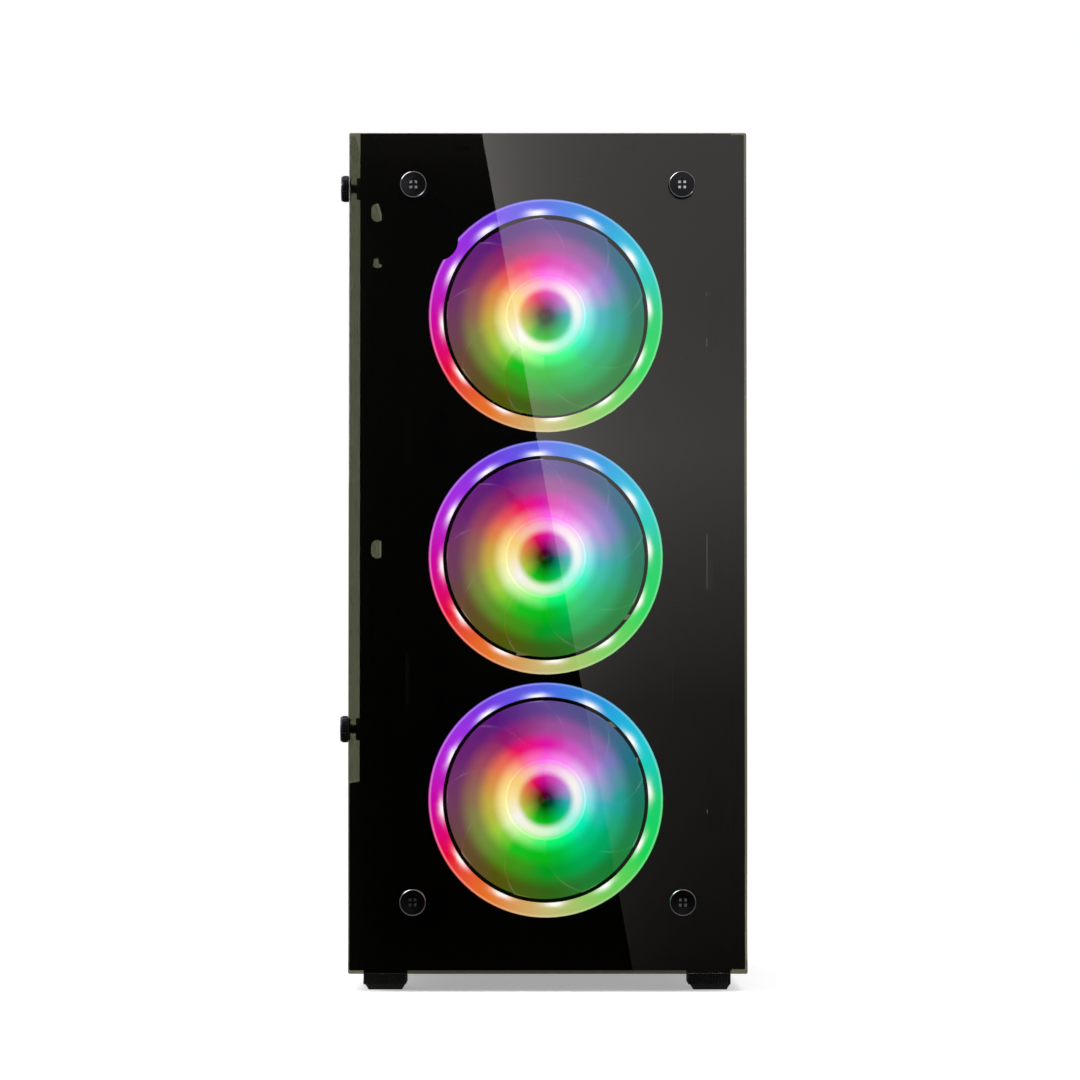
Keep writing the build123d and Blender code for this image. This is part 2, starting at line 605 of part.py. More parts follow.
# Processor cooler: base, bent heat pipes and a stack of thin fins
pipe_ys = [processor_y + offset for offset in (-13.5, -4.5, 4.5, 13.5)]
pipe_spread = 38
fin_inner_x = board_face - 30
fin_outer_x = board_face - 140
fin_count = 22
with BuildPart() as cooler_heatsink:
    block((board_face - 19, board_face - 5), (processor_y - 20, processor_y + 20), (processor_z - 20, processor_z + 20))
    for y in pipe_ys:
        low_end = (fin_outer_x - 4, y, processor_z - pipe_spread)
        high_end = (fin_outer_x - 4, y, processor_z + pipe_spread)
        low_corner = (board_face - 12, y, processor_z - pipe_spread)
        high_corner = (board_face - 12, y, processor_z + pipe_spread)
        with BuildLine():
            FilletPolyline(low_end, low_corner, high_corner, high_end, radius=14)
        with BuildSketch(Plane(origin=low_end, z_dir=(1, 0, 0))):
            Circle(3)
        sweep()
    for number in range(fin_count):
        x = fin_inner_x - number * (fin_inner_x - fin_outer_x) / (fin_count - 1)
        block((x - 0.8, x), (stack_front, stack_front + stack_depth), (processor_z - 58, processor_z + 58))
save(cooler_heatsink.part, "cooler_heatsink")

# Graphics card: circuit board with its edge connector and two-slot rear bracket
card_low_z = card_z - 38
card_inner_x = board_face - 12
with BuildPart() as graphics_card_board:
    block((card_edge_x, card_inner_x), (card_front, rear_inside - 4), (card_z - 0.8, card_z + 0.8))
    block((card_inner_x, board_face - 2.5), (card_slot_ys[0] + 4, card_slot_ys[1] - 4), (card_z - 0.8, card_z + 0.8))
    block((card_edge_x - 1, card_edge_x + 11), (card_plug_y - 10, card_plug_y + 10), (card_z - 12, card_z - 0.8))
    block((tab_x - 5, board_face - 4), (rear_inside - 3, rear_inside - 2), (slot_zs[1] - 8.5, slot_zs[0] + 8.5))
    for z in slot_zs[:2]:
        rod((tab_x, rear_inside - 4, z), (0, 1, 0), 1.9, 3, Mode.SUBTRACT)
    block((card_inner_x - 30, card_inner_x - 14), (rear_inside - 4, rear_inside - 2), (card_z - 0.8, card_z + 0.8))
    for x in (board_face - 28, board_face - 50, board_face - 72):
        block((x - 9, x + 9), (rear_inside - 20, rear_inside + 0.5), (card_z - 6.4, card_z - 0.8))
        block((x - 7.5, x + 7.5), (rear_inside - 12, rear_inside + 1), (card_z - 5.6, card_z - 1.6), Mode.SUBTRACT)
save(graphics_card_board.part, "graphics_card_board")

# Heat sink of the graphics card: base plate and long fins
sink_low_x = card_edge_x + 14
with BuildPart() as graphics_card_heatsink:
    block((sink_low_x, card_inner_x - 4), (card_front + 6, rear_inside - 24), (card_z - 4, card_z - 0.8))
    for number in range(30):
        y = card_front + 8 + number * 6.6
        block((sink_low_x, card_inner_x - 4), (y, y + 1), (card_z - 20, card_z - 4))
save(graphics_card_heatsink.part, "graphics_card_heatsink")

# Shroud of the graphics card, open below for two fans
card_fan_radius = 41.5
card_fan_x = card_edge_x + 54
card_fan_ys = (card_front + 52, card_front + 160)
with BuildPart() as graphics_card_shroud:
    block((card_edge_x + 0.5, card_inner_x), (card_front, rear_inside - 22), (card_low_z, card_z - 0.8))
    fillet(graphics_card_shroud.edges().filter_by(Axis.Z), 5)
    block((card_edge_x + 11.5, card_inner_x - 2), (card_front + 2, rear_inside - 22), (card_low_z + 2, card_z - 0.8),
          Mode.SUBTRACT)
    block((card_edge_x, card_edge_x + 12), (card_plug_y - 11, card_plug_y + 11), (card_z - 14, card_z), Mode.SUBTRACT)
    with BuildSketch(Plane.XY.offset(card_low_z)):
        with Locations(*[(card_fan_x, y) for y in card_fan_ys]):
            Circle(card_fan_radius + 1.5)
    extrude(amount=2, mode=Mode.SUBTRACT)
    for y in card_fan_ys:
        block((card_edge_x + 8, card_inner_x), (y - 3, y + 3), (card_z - 22.6, card_z - 20.4))
        rod((card_fan_x, y, card_z - 20.4), (0, 0, -1), 12, 5.6)
        rod((card_fan_x, y, card_z - 26), (0, 0, -1), shaft_radius, 6)
save(graphics_card_shroud.part, "graphics_card_shroud")

for number, y in enumerate(card_fan_ys, 1):
    plane = Plane(origin=(card_fan_x, y, card_low_z), z_dir=(0, 0, 1))
    save(impeller(plane, card_fan_radius, 15, 1, 13.5, 11), f"graphics_fan_{number}")

# Power supply housing: fan opening below, slotted vent, inlet and switch openings at the back
inlet_x = supply_x - 45
switch_x = inlet_x + 28
supply_high = supply_low + supply_height
supply_left = supply_x - supply_width / 2
supply_right = supply_x + supply_width / 2
inlet_z = supply_z
with BuildPart() as psu_housing:
    block((supply_left, supply_right), (supply_front, rear_inside), (supply_low, supply_high))
    block((supply_left + 1.2, supply_right - 1.2), (supply_front + 1.2, rear_inside - 1.2),
          (supply_low + 1.2, supply_high - 1.2), Mode.SUBTRACT)
    rod((supply_x, supply_fan_y, supply_low - 1), (0, 0, 1), fan_opening, 3, Mode.SUBTRACT)
    for turn in (0, 90):
        with Locations(Location((supply_x, supply_fan_y, supply_low + 0.6), (0, 0, turn + 45))):
            Box(2 * fan_opening + 4, 2.4, 1.2)
    block((inlet_x - 14, inlet_x + 14), (rear_inside - 2, rear_y), (inlet_z - 10.5, inlet_z + 10.5), Mode.SUBTRACT)
    block((switch_x - 6.5, switch_x + 6.5), (rear_inside - 2, rear_y), (inlet_z - 9.6, inlet_z + 9.6), Mode.SUBTRACT)
    with BuildSketch(Plane(origin=(supply_x + 30, rear_inside - 1.2, supply_z), z_dir=(0, 1, 0))):
        with HexLocations(4.2, 7, 8):
            RegularPolygon(3.3, 6)
    extrude(amount=2, mode=Mode.SUBTRACT)
    for x, z in supply_screws:
        rod((x, rear_inside - 2, z), (0, 1, 0), 1.9, 2, Mode.SUBTRACT)
    block((supply_left + 1, supply_right - 1), (supply_fan_y - 4, supply_fan_y + 4), (supply_low + 27, supply_low + 29))
    rod((supply_x, supply_fan_y, supply_low + 28), (0, 0, -1), 16, 8)
    rod((supply_x, supply_fan_y, supply_low + 21), (0, 0, -1), shaft_radius, 8)
save(psu_housing.part, "psu_housing")

supply_fan_plane = Plane(origin=(supply_x, supply_fan_y, supply_low + 4), z_dir=(0, 0, 1))
save(impeller(supply_fan_plane, fan_opening - 1.5, 19, 2, 19, 7), "psu_impeller")

# Mains inlet: a recessed socket with three flat pins
with BuildPart() as psu_inlet:
    block((inlet_x - 13.7, inlet_x + 13.7), (rear_inside - 17, rear_inside + 0.5), (inlet_z - 10.2, inlet_z + 10.2))
    with BuildSketch(Plane(origin=(inlet_x, rear_inside + 0.5, inlet_z), x_dir=(-1, 0, 0), z_dir=(0, 1, 0))):
        socket = Rectangle(24.4, 16.4)
        chamfer(socket.vertices().group_by(Axis.Y)[-1], 4)
    extrude(amount=-15, mode=Mode.SUBTRACT)
    for x, z in ((inlet_x - 7, inlet_z - 2), (inlet_x, inlet_z + 2), (inlet_x + 7, inlet_z - 2)):
        block((x - 1, x + 1), (rear_inside - 16, rear_inside - 5), (z - 2, z + 2))
save(psu_inlet.part, "psu_inlet")

# Rocker switch: the lever turns on a level axis across its opening
with BuildPart() as psu_switch:
    with BuildSketch(Plane(origin=(switch_x - 5.8, rear_inside - 2.5, inlet_z), x_dir=(0, 1, 0), z_dir=(1, 0, 0))):
        with BuildLine():
            Line((-3, -4), (0, -8.2))
            Line((0, -8.2), (3.4, -7.6))
            ThreePointArc((3.4, -7.6), (2.2, 0), (4.6, 7.4))
            Line((4.6, 7.4), (0, 8.2))
            Line((0, 8.2), (-3, 4))
            Line((-3, 4), (-3, -4))
        make_face()
    extrude(amount=11.6)
save(psu_switch.part, "psu_switch")

# Screws of the power supply and of the expansion slots
with BuildPart() as rear_screws:
    for x, z in supply_screws:
        rod((x, rear_y, z), (0, 1, 0), 3.6, 2.2)
        rod((x, rear_y, z), (0, -1, 0), 1.7, 6)
    for z in slot_zs:
        rod((tab_x, rear_y, z), (0, 1, 0), 3.6, 2.2)
        rod((tab_x, rear_y, z), (0, -1, 0), 1.7, 6)
save(rear_screws.part, "rear_screws")

# Covers for the expansion slots that hold no card
with BuildPart() as slot_covers:
    for z in slot_zs[2:]:
        block((tab_x - 5, slot_high_x + 2), (rear_inside - 1.2, rear_inside - 0.2), (z - 9, z + 9))
        rod((tab_x, rear_inside - 2, z), (0, 1, 0), 1.9, 2, Mode.SUBTRACT)
        for x in (slot_low_x + 28, slot_low_x + 74):
            block((x - 14, x + 14), (rear_inside - 2, rear_inside), (z - 1.5, z + 1.5), Mode.SUBTRACT)
save(slot_covers.part, "slot_covers")

# Drive cage with two bays, open at both ends
cage_low_y = shroud_front + 16
cage_depth = 104
cage_low_x = mid_x - 72
cage_high_x = mid_x + 72
bay_height = 32
with BuildPart() as drive_cage:
    cage_top = floor_inside + 2 * bay_height + 3
    block((cage_low_x, cage_high_x), (cage_low_y, cage_low_y + cage_depth), (floor_inside, cage_top))
    for number in range(2):
        low = floor_inside + 1 + number * (bay_height + 1)
        block((cage_low_x - 1, cage_high_x + 1), (cage_low_y + 1, cage_low_y + cage_depth - 1), (low, low + bay_height),
              Mode.SUBTRACT)
    with BuildSketch(Plane(origin=(mid_x, cage_low_y, floor_inside + bay_height + 1), z_dir=(0, -1, 0))):
        with GridLocations(34, bay_height + 1, 4, 2):
            SlotOverall(24, 8)
    extrude(amount=-cage_depth, mode=Mode.SUBTRACT)
save(drive_cage.part, "drive_cage")

# Hard drive in the lower bay, with a raised lid and a connector strip
drive_low = floor_inside + 3
with BuildPart() as hard_drive:
    block((mid_x - 70, mid_x + 70), (cage_low_y + 1.3, cage_low_y + cage_depth - 1.3), (drive_low, drive_low + 23))
    fillet(hard_drive.edges().filter_by(Axis.Z), 3)
    block((mid_x - 64, mid_x + 64), (cage_low_y + 7, cage_low_y + cage_depth - 7), (drive_low + 23, drive_low + 26))
    block((mid_x + 64, mid_x + 71), (cage_low_y + 14, cage_low_y + 56), (drive_low - 1, drive_low + 6), Mode.SUBTRACT)
    block((mid_x + 64, mid_x + 69), (cage_low_y + 16, cage_low_y + 54), (drive_low + 1.5, drive_low + 3))
save(hard_drive.part, "hard_drive")

# Feet: ribbed blocks with tapered sides
with BuildPart() as feet:
    for x in (mid_x - 80.5, mid_x + 80.5):
        for y in (plate_y + 30, rear_y - 40):
            with BuildSketch(Plane.XY):
                with Locations((x, y)):
                    RectangleRounded(19, 34, 2)
            with BuildSketch(Plane.XY.offset(2.5)):
                with Locations((x, y)):
                    RectangleRounded(21, 36, 2)
            loft()
            with BuildSketch(Plane.XY.offset(2.5)):
                with Locations((x, y)):
                    RectangleRounded(21.6, 36.6, 2)
            extrude(amount=foot_height - 2.5)
save(feet.part, "feet")

# Dust filter on the top: a thin frame with a finer mesh field
filter_low_y = strip_high_y + 6
with BuildPart() as top_dust_filter:
    block((mid_x - 78, mid_x + 78), (filter_low_y, rear_y - 8), (frame_high, frame_high + 1.6))
    fillet(top_dust_filter.edges().filter_by(Axis.Z), 4)
    block((mid_x - 70, mid_x + 70), (filter_low_y + 8, rear_y - 16), (frame_high + 0.8, frame_high + 1.6),
          Mode.SUBTRACT)
save(top_dust_filter.part, "top_dust_filter")

# Dust filter under the power supply: slides out rearwards on two rails under the floor
with BuildPart() as psu_dust_filter:
    block((supply_x - 58, supply_x + 58), (supply_fan_y - 62, rear_y - 2), (frame_low - 3, frame_low - 0.4))
    block((supply_x - 52, supply_x + 52), (supply_fan_y - 56, supply_fan_y + 56), (frame_low - 3, frame_low - 1.2),
          Mode.SUBTRACT)
    block((supply_x - 15, supply_x + 15), (rear_y - 6, rear_y - 2), (frame_low - 5, frame_low - 0.4))
save(psu_dust_filter.part, "psu_dust_filter")

# Control strip on the top edge: bezel, two buttons, their board and the sockets under it
strip_y = (strip_low_y + strip_high_y) / 2
power_x = mid_x + 46
reset_x = mid_x + 24
usb_xs = (mid_x - 4, mid_x - 26)
audio_xs = (mid_x - 41, mid_x - 50)
bezel_high = frame_high + 1.8
power_radius = 7
reset_radius = 2.6
with BuildPart() as io_bezel:
    block((mid_x - strip_half, mid_x + strip_half), (strip_low_y, strip_high_y), (frame_high, bezel_high))
    fillet(io_bezel.edges().filter_by(Axis.Z), 3)
    block((mid_x - strip_half + 3.3, mid_x + strip_half - 3.3), (strip_low_y + 3.3, strip_high_y - 3.3),
          (frame_high - 3, frame_high))
    rod((power_x, strip_y, frame_high - 4), (0, 0, 1), power_radius + 0.4, 8, Mode.SUBTRACT)
    rod((reset_x, strip_y, frame_high - 4), (0, 0, 1), reset_radius + 0.4, 8, Mode.SUBTRACT)
    for x in usb_xs:
        block((x - 7.2, x + 7.2), (strip_y - 3.6, strip_y + 3.6), (frame_high - 4, bezel_high), Mode.SUBTRACT)
    for x in audio_xs:
        rod((x, strip_y, frame_high - 4), (0, 0, 1), 3.4, 8, Mode.SUBTRACT)
save(io_bezel.part, "io_bezel")

strip_board_z = bezel_high - 20
with BuildPart() as io_board:
    block((mid_x - 59, mid_x + 59), (strip_y - 8.5, strip_y + 8.5), (strip_board_z - 1.6, strip_board_z))
    for x in (power_x, reset_x):
        block((x - 3, x + 3), (strip_y - 3, strip_y + 3), (strip_board_z, strip_board_z + 8))
    for x in (mid_x - 57.5, mid_x + 57.5):
        rod((x, strip_y, strip_board_z), (0, 0, 1), 1.4, frame_high - 3 - strip_board_z)
save(io_board.part, "io_board")

with BuildPart() as front_usb_ports:
    for x in usb_xs:
        block((x - 7, x + 7), (strip_y - 3.3, strip_y + 3.3), (strip_board_z, bezel_high - 0.3))
        block((x - 6.4, x + 6.4), (strip_y - 2.7, strip_y + 2.7), (strip_board_z + 3, bezel_high), Mode.SUBTRACT)
        block((x - 5.6, x + 5.6), (strip_y + 0.4, strip_y + 2.2), (strip_board_z + 2, bezel_high - 1.5))
save(front_usb_ports.part, "front_usb_ports")

with BuildPart() as front_audio_jacks:
    for x in audio_xs:
        rod((x, strip_y, strip_board_z), (0, 0, 1), 3.1, bezel_high - 0.3 - strip_board_z)
        rod((x, strip_y, strip_board_z + 3), (0, 0, 1), 1.8, 20, Mode.SUBTRACT)
save(front_audio_jacks.part, "front_audio_jacks")

button_travel = 1.5
for name, x, radius in (("power_button", power_x, power_radius), ("reset_button", reset_x, reset_radius)):
    with BuildPart() as button:
        rod((x, strip_y, frame_high - 3), (0, 0, 1), radius, bezel_high + 0.2 - frame_high + 3)
        rod((x, strip_y, strip_board_z + 8 + button_travel + 0.2), (0, 0, 1), 1.8, frame_high - 3 - strip_board_z - 9)
        fillet(button.edges().filter_by(GeomType.CIRCLE).group_by(Axis.Z)[-1], 0.4)
    save(button.part, name)


def cable(points, radius):
    """A round cable along straight runs joined by arcs as large as the runs allow."""
    corners = [Vector(point) for point in points]
    radii = []
    for before, corner, after in zip(corners, corners[1:], corners[2:]):
        turn = (corner - before).get_angle(after - corner)
        shorter = min((corner - before).length, (after - corner).length)
        radii.append(0.45 * shorter / tan(radians(turn / 2)))
    print("cable arcs:", [round(arc, 1) for arc in radii])
    with BuildPart() as tube:
        with BuildLine() as route:
            FilletPolyline(*points, radius=radii)
        with BuildSketch(Plane(origin=points[0], z_dir=corners[1] - corners[0])):
            Circle(radius)
        sweep()
    length = sum(edge.length for edge in route.edges())
    print("cable volume / section x length:", round(tube.part.volume / (pi * radius**2 * length), 4))
    return tube.part


# Power cables: one to the board, round the back of the tray, and one to the graphics card
cable_radius = 3
board_cable_z = board_top - 124
behind_tray = tray_x + 8
board_route = [
    (supply_right - 20, supply_front - 0.4, supply_low + 50),
    (supply_right - 18, supply_front - 32, supply_low + 51),
    (behind_tray - 8, supply_front - 66, supply_low + 62),
    (behind_tray, supply_front - 104, supply_low + 98),
    (behind_tray, cable_slot_y + 6, supply_low + 148),
    (behind_tray, cable_slot_y, board_cable_z - 58),
    (behind_tray, cable_slot_y, board_cable_z),
    (board_face - 42, cable_slot_y, board_cable_z),
    (board_face - 42, board_front + 4.5, board_cable_z),
    (board_face - 12, board_front + 4.5, board_cable_z),
]
card_route = [
    (card_cable_x + 20, supply_front - 0.4, supply_low + 50),
    (card_cable_x + 18, supply_front - 34, supply_low + 52),
    (card_cable_x + 4, card_plug_y + 3, supply_low + 88),
    (card_cable_x, card_plug_y, supply_low + 150),
    (card_cable_x + 1, card_plug_y, card_z - 6),
    (card_edge_x - 1, card_plug_y, card_z - 6),
]
with BuildPart() as power_cables:
    add(cable(board_route, cable_radius))
    add(cable(card_route, cable_radius))
save(power_cables.part, "power_cables")
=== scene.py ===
import bpy
import bmesh
import random
from math import cos, exp, radians, sin, tan, tau
from mathutils import Matrix, Vector


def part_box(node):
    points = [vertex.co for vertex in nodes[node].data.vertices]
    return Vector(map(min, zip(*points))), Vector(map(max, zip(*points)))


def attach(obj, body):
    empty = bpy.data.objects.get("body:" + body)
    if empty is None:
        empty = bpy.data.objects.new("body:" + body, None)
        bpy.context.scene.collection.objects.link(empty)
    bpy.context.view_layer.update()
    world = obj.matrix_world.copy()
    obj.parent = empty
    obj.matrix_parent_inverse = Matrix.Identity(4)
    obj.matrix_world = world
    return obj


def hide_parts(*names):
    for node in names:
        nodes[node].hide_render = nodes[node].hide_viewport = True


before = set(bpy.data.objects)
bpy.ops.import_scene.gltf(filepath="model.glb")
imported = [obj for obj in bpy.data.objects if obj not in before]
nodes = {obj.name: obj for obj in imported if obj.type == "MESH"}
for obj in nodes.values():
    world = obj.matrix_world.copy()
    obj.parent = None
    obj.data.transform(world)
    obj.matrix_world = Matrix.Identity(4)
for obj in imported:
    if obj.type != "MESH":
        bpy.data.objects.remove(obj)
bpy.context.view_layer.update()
scene = bpy.context.scene
mm = 0.001


def corners(node):  # lowest and highest corner of a CAD node, in millimetres
    return [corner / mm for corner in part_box(node)]


def middle(node):
    return sum(corners(node), Vector()) / 2


def hexColor(code):  # sRGB hex to linear RGBA
    values = [int(code[start:start + 2], 16) / 255 for start in (1, 3, 5)]
    linear = [v / 12.92 if v <= 0.04045 else ((v + 0.055) / 1.055) ** 2.4 for v in values]
    return (*linear, 1)


# Node and material helpers

def addNode(tree, kind, inputs=(), **settings):
    # A node with its settings, values and links; gives its output
    node = tree.nodes.new("ShaderNode" + kind)
    for key, value in settings.items():
        setattr(node, key, value)
    live = [socket for socket in node.inputs if socket.enabled]
    for key, value in inputs.items() if isinstance(inputs, dict) else enumerate(inputs):
        socket = live[key] if isinstance(key, int) else node.inputs[key]
        if isinstance(value, bpy.types.NodeSocket):
            tree.links.new(value, socket)
        else:
            socket.default_value = value
    return next((socket for socket in node.outputs if socket.enabled), None)


def startMaterial(name):
    material = bpy.data.materials.new(name)
    material.use_nodes = True
    tree = material.node_tree
    tree.nodes.clear()
    place = addNode(tree, "TexCoord").node.outputs["Object"]
    return material, tree, place


def endMaterial(tree, shader):
    addNode(tree, "OutputMaterial", {"Surface": shader})


def coatedSteel():
    # Black powder coat: matt, with a fine orange-peel that breaks up the highlights.
    # Its real grain is about 0.4 mm and is drawn at 0.9 mm so that it shows.
    material, tree, place = startMaterial("blackPowderCoat")
    peel = addNode(tree, "TexNoise", {"Vector": place, "Scale": 1 / (0.9 * mm), "Detail": 2.0})
    cloud = addNode(tree, "TexNoise", {"Vector": place, "Scale": 1 / (45 * mm), "Detail": 2.0})
    endMaterial(tree, addNode(tree, "BsdfPrincipled", {
        "Base Color": addNode(tree, "Mix",
            [cloud, hexColor("#0b0b0c"), hexColor("#151517")], data_type="RGBA"),
        "Roughness": addNode(tree, "MapRange", [peel, 0.35, 0.65, 0.42, 0.60]),
        "Normal": addNode(tree, "Bump", {"Height": peel, "Distance": 0.05 * mm, "Strength": 0.5})}))
    return material


def satinFinish(name, dark, light, rough, grain, cloud, depth, metallic=0.0):
    # A grain in the gloss and relief over broad clouds of colour, both sizes in metres
    material, tree, place = startMaterial(name)
    fine = addNode(tree, "TexNoise", {"Vector": place, "Scale": 1 / grain, "Detail": 2.0})
    broad = addNode(tree, "TexNoise", {"Vector": place, "Scale": 1 / cloud, "Detail": 2.0})
    endMaterial(tree, addNode(tree, "BsdfPrincipled", {
        "Base Color": addNode(tree, "Mix", [broad, hexColor(dark), hexColor(light)], data_type="RGBA"),
        "Metallic": metallic, "Roughness": addNode(tree, "MapRange",
            [fine, 0.35, 0.65, rough - 0.07, rough + 0.08]),
        "Normal": addNode(tree, "Bump", {"Height": fine, "Distance": depth, "Strength": 0.4})}))
    return material


def mouldedAbs(name, dark, light, rough):
    # Moulded plastic: satin, with a fine spark-eroded texture of 0.6 mm
    return satinFinish(name, dark, light, rough, 0.6 * mm, 20 * mm, 0.03 * mm)


def anodised(name, dark, light, rough):
    # Anodised aluminium: a dyed oxide skin, softly satin, with a very fine bead-blasted grain
    return satinFinish(name, dark, light, rough, 0.5 * mm, 25 * mm, 0.02 * mm, 0.85)


def turnedMetal(name, dark, light, rough, grain=0.4 * mm, stretch=(1, 1, 1)):
    # Plated or bare metal: fine marks left by turning, drawing or plating
    material, tree, place = startMaterial(name)
    lines = addNode(tree, "Mapping", {"Vector": place, "Scale": stretch})
    marks = addNode(tree, "TexNoise", {"Vector": lines, "Scale": 1 / grain, "Detail": 3.0})
    endMaterial(tree, addNode(tree, "BsdfPrincipled", {
        "Base Color": addNode(tree, "Mix", [marks, hexColor(dark), hexColor(light)], data_type="RGBA"),
        "Metallic": 1.0, "Roughness": addNode(tree, "MapRange",
            [marks, 0.35, 0.65, rough * 0.8, rough * 1.25]),
        "Normal": addNode(tree, "Bump", {"Height": marks, "Distance": 0.02 * mm, "Strength": 0.3})}))
    return material


def paneGlass(name, body, light, share, rough):
    # Polished tempered glass. share is how much light one face stops; body and light tint what passes.
    # Faint wipe marks of about 30 mm change the gloss a little.
    material, tree, place = startMaterial(name)
    streaks = addNode(tree, "Mapping", {"Vector": place, "Scale": (1, 1, 0.35)})
    wipes = addNode(tree, "TexNoise", {"Vector": streaks, "Scale": 1 / (30 * mm), "Detail": 4.0})
    gloss = addNode(tree, "BsdfPrincipled", {
        "Base Color": hexColor(body), "IOR": 1.52,
        "Roughness": addNode(tree, "MapRange", [wipes, 0.35, 0.65, rough, rough * 1.6])})
    clear = addNode(tree, "BsdfTransparent", {"Color": hexColor(light)})
    endMaterial(tree, addNode(tree, "MixShader", [share, clear, gloss]))
    return material


def mouldedRubber():
    # Black rubber: dull, with fine pores and faint dusty patches
    material, tree, place = startMaterial("blackRubber")
    pores = addNode(tree, "TexNoise", {"Vector": place, "Scale": 1 / (1.2 * mm), "Detail": 4.0})
    dust = addNode(tree, "TexNoise", {"Vector": place, "Scale": 1 / (8 * mm), "Detail": 3.0})
    endMaterial(tree, addNode(tree, "BsdfPrincipled", {
        "Base Color": addNode(tree, "Mix",
            [dust, hexColor("#0d0d0d"), hexColor("#1b1a19")], data_type="RGBA"),
        "Roughness": addNode(tree, "MapRange", [pores, 0.35, 0.65, 0.62, 0.85]),
        "Normal": addNode(tree, "Bump", {"Height": pores, "Distance": 0.08 * mm, "Strength": 0.5})}))
    return material


# Lit plastics: colour and light by angle and radius round a fan's axis

glassTint = (0.1250, 0.1235, 0.0842)  # what the front glass lets through, red, green, blue


def polar(tree, place, center):  # angle clockwise from the top in turns, and radius in mm
    shifted = addNode(tree, "VectorMath", [place, center], operation="SUBTRACT")
    axes = addNode(tree, "SeparateXYZ", [shifted]).node.outputs
    angle = addNode(tree, "Math", [axes["X"], axes["Z"]], operation="ARCTAN2")
    turn = addNode(tree, "Math", [angle, 1 / tau, 1.0], operation="MULTIPLY_ADD")
    flat = addNode(tree, "VectorMath", [shifted, (1, 0, 1)], operation="MULTIPLY")
    distance = addNode(tree, "VectorMath", [flat], operation="LENGTH")
    return (addNode(tree, "Math", [turn], operation="FRACT"),
            addNode(tree, "Math", [distance, mm], operation="DIVIDE"))


def colorWheel(tree, turn, colors):  # colours spaced evenly round a full turn
    ramp = addNode(tree, "ValToRGB", [turn])
    stops = ramp.node.color_ramp.elements
    for number, code in enumerate(colors[1:], 1):
        stops.new(number / len(colors))
    for stop, code in zip(stops, colors):
        stop.color = hexColor(code)
    stops[-1].position = 1.0
    stops[-1].color = hexColor(colors[0])
    return ramp


def gaussian(tree, distance, width):  # 1 at no distance, falling off smoothly
    share = addNode(tree, "Math", [distance, width], operation="DIVIDE")
    square = addNode(tree, "Math", [share, share], operation="MULTIPLY")
    return addNode(tree, "Math", [exp(-1), square], operation="POWER")


def litShader(tree, color, light, body, rough):  # bright enough to look like this behind the tinted glass
    return addNode(tree, "BsdfPrincipled", {
        "Base Color": hexColor(body), "Roughness": rough, "Emission Strength": light,
        "Emission Color": addNode(tree, "VectorMath", [color, glassTint], operation="DIVIDE")})


ringLight = {
    "colors": ["#5470f8", "#00a0f0", "#00d6e6", "#00dc78", "#00e25a", "#84da62",
               "#d4c884", "#f2802a", "#f4083c", "#d803b4", "#b42ef2", "#7a40f6"],
    "lamps": 12, "lampOffset": 0.66, "lampRadius": 51.5, "lampWidth": 1.45, "lampLength": 0.2,
    "rimRadius": 57.3, "rimWidth": 0.35,
}


def glowingRing(name, center):
    # Frosted acrylic ring: milky, evenly lit, with a long soft hot spot over each lamp behind it,
    # and a thin bright line where its edges gather the light.
    material, tree, place = startMaterial(name)
    turn, radius = polar(tree, place, center)
    color = colorWheel(tree, turn, ringLight["colors"])
    lamp = addNode(tree, "Math", [turn, ringLight["lamps"], ringLight["lampOffset"]],
        operation="MULTIPLY_ADD")
    along = addNode(tree, "Math", [addNode(tree, "Math", [lamp], operation="FRACT"), 0.5],
        operation="SUBTRACT")
    clouds = addNode(tree, "TexNoise", {"Vector": place, "Scale": 1 / (7 * mm), "Detail": 2.0})
    streak = addNode(tree, "MapRange", [clouds, 0.35, 0.65, 0.8, 1.15])
    across = addNode(tree, "Math", [radius, ringLight["lampRadius"]], operation="SUBTRACT")
    across = addNode(tree, "Math", [across, streak], operation="MULTIPLY")
    spot = addNode(tree, "Math", [gaussian(tree, along, ringLight["lampLength"]),
                                  gaussian(tree, across, ringLight["lampWidth"])], operation="MULTIPLY")
    edge = addNode(tree, "Math", [radius, ringLight["rimRadius"]], operation="SUBTRACT")
    edge = addNode(tree, "Math", [gaussian(tree, edge, ringLight["rimWidth"]), 0.25], operation="MULTIPLY")
    white = addNode(tree, "Math", [spot, 0.88, edge], operation="MULTIPLY_ADD", use_clamp=True)
    color = addNode(tree, "Mix", [white, color, hexColor("#ffffff")], data_type="RGBA")
    light = addNode(tree, "Math", [spot, 0.25, 0.92], operation="MULTIPLY_ADD")
    endMaterial(tree, litShader(tree, color, light, "#0e0e10", 0.35))
    return material


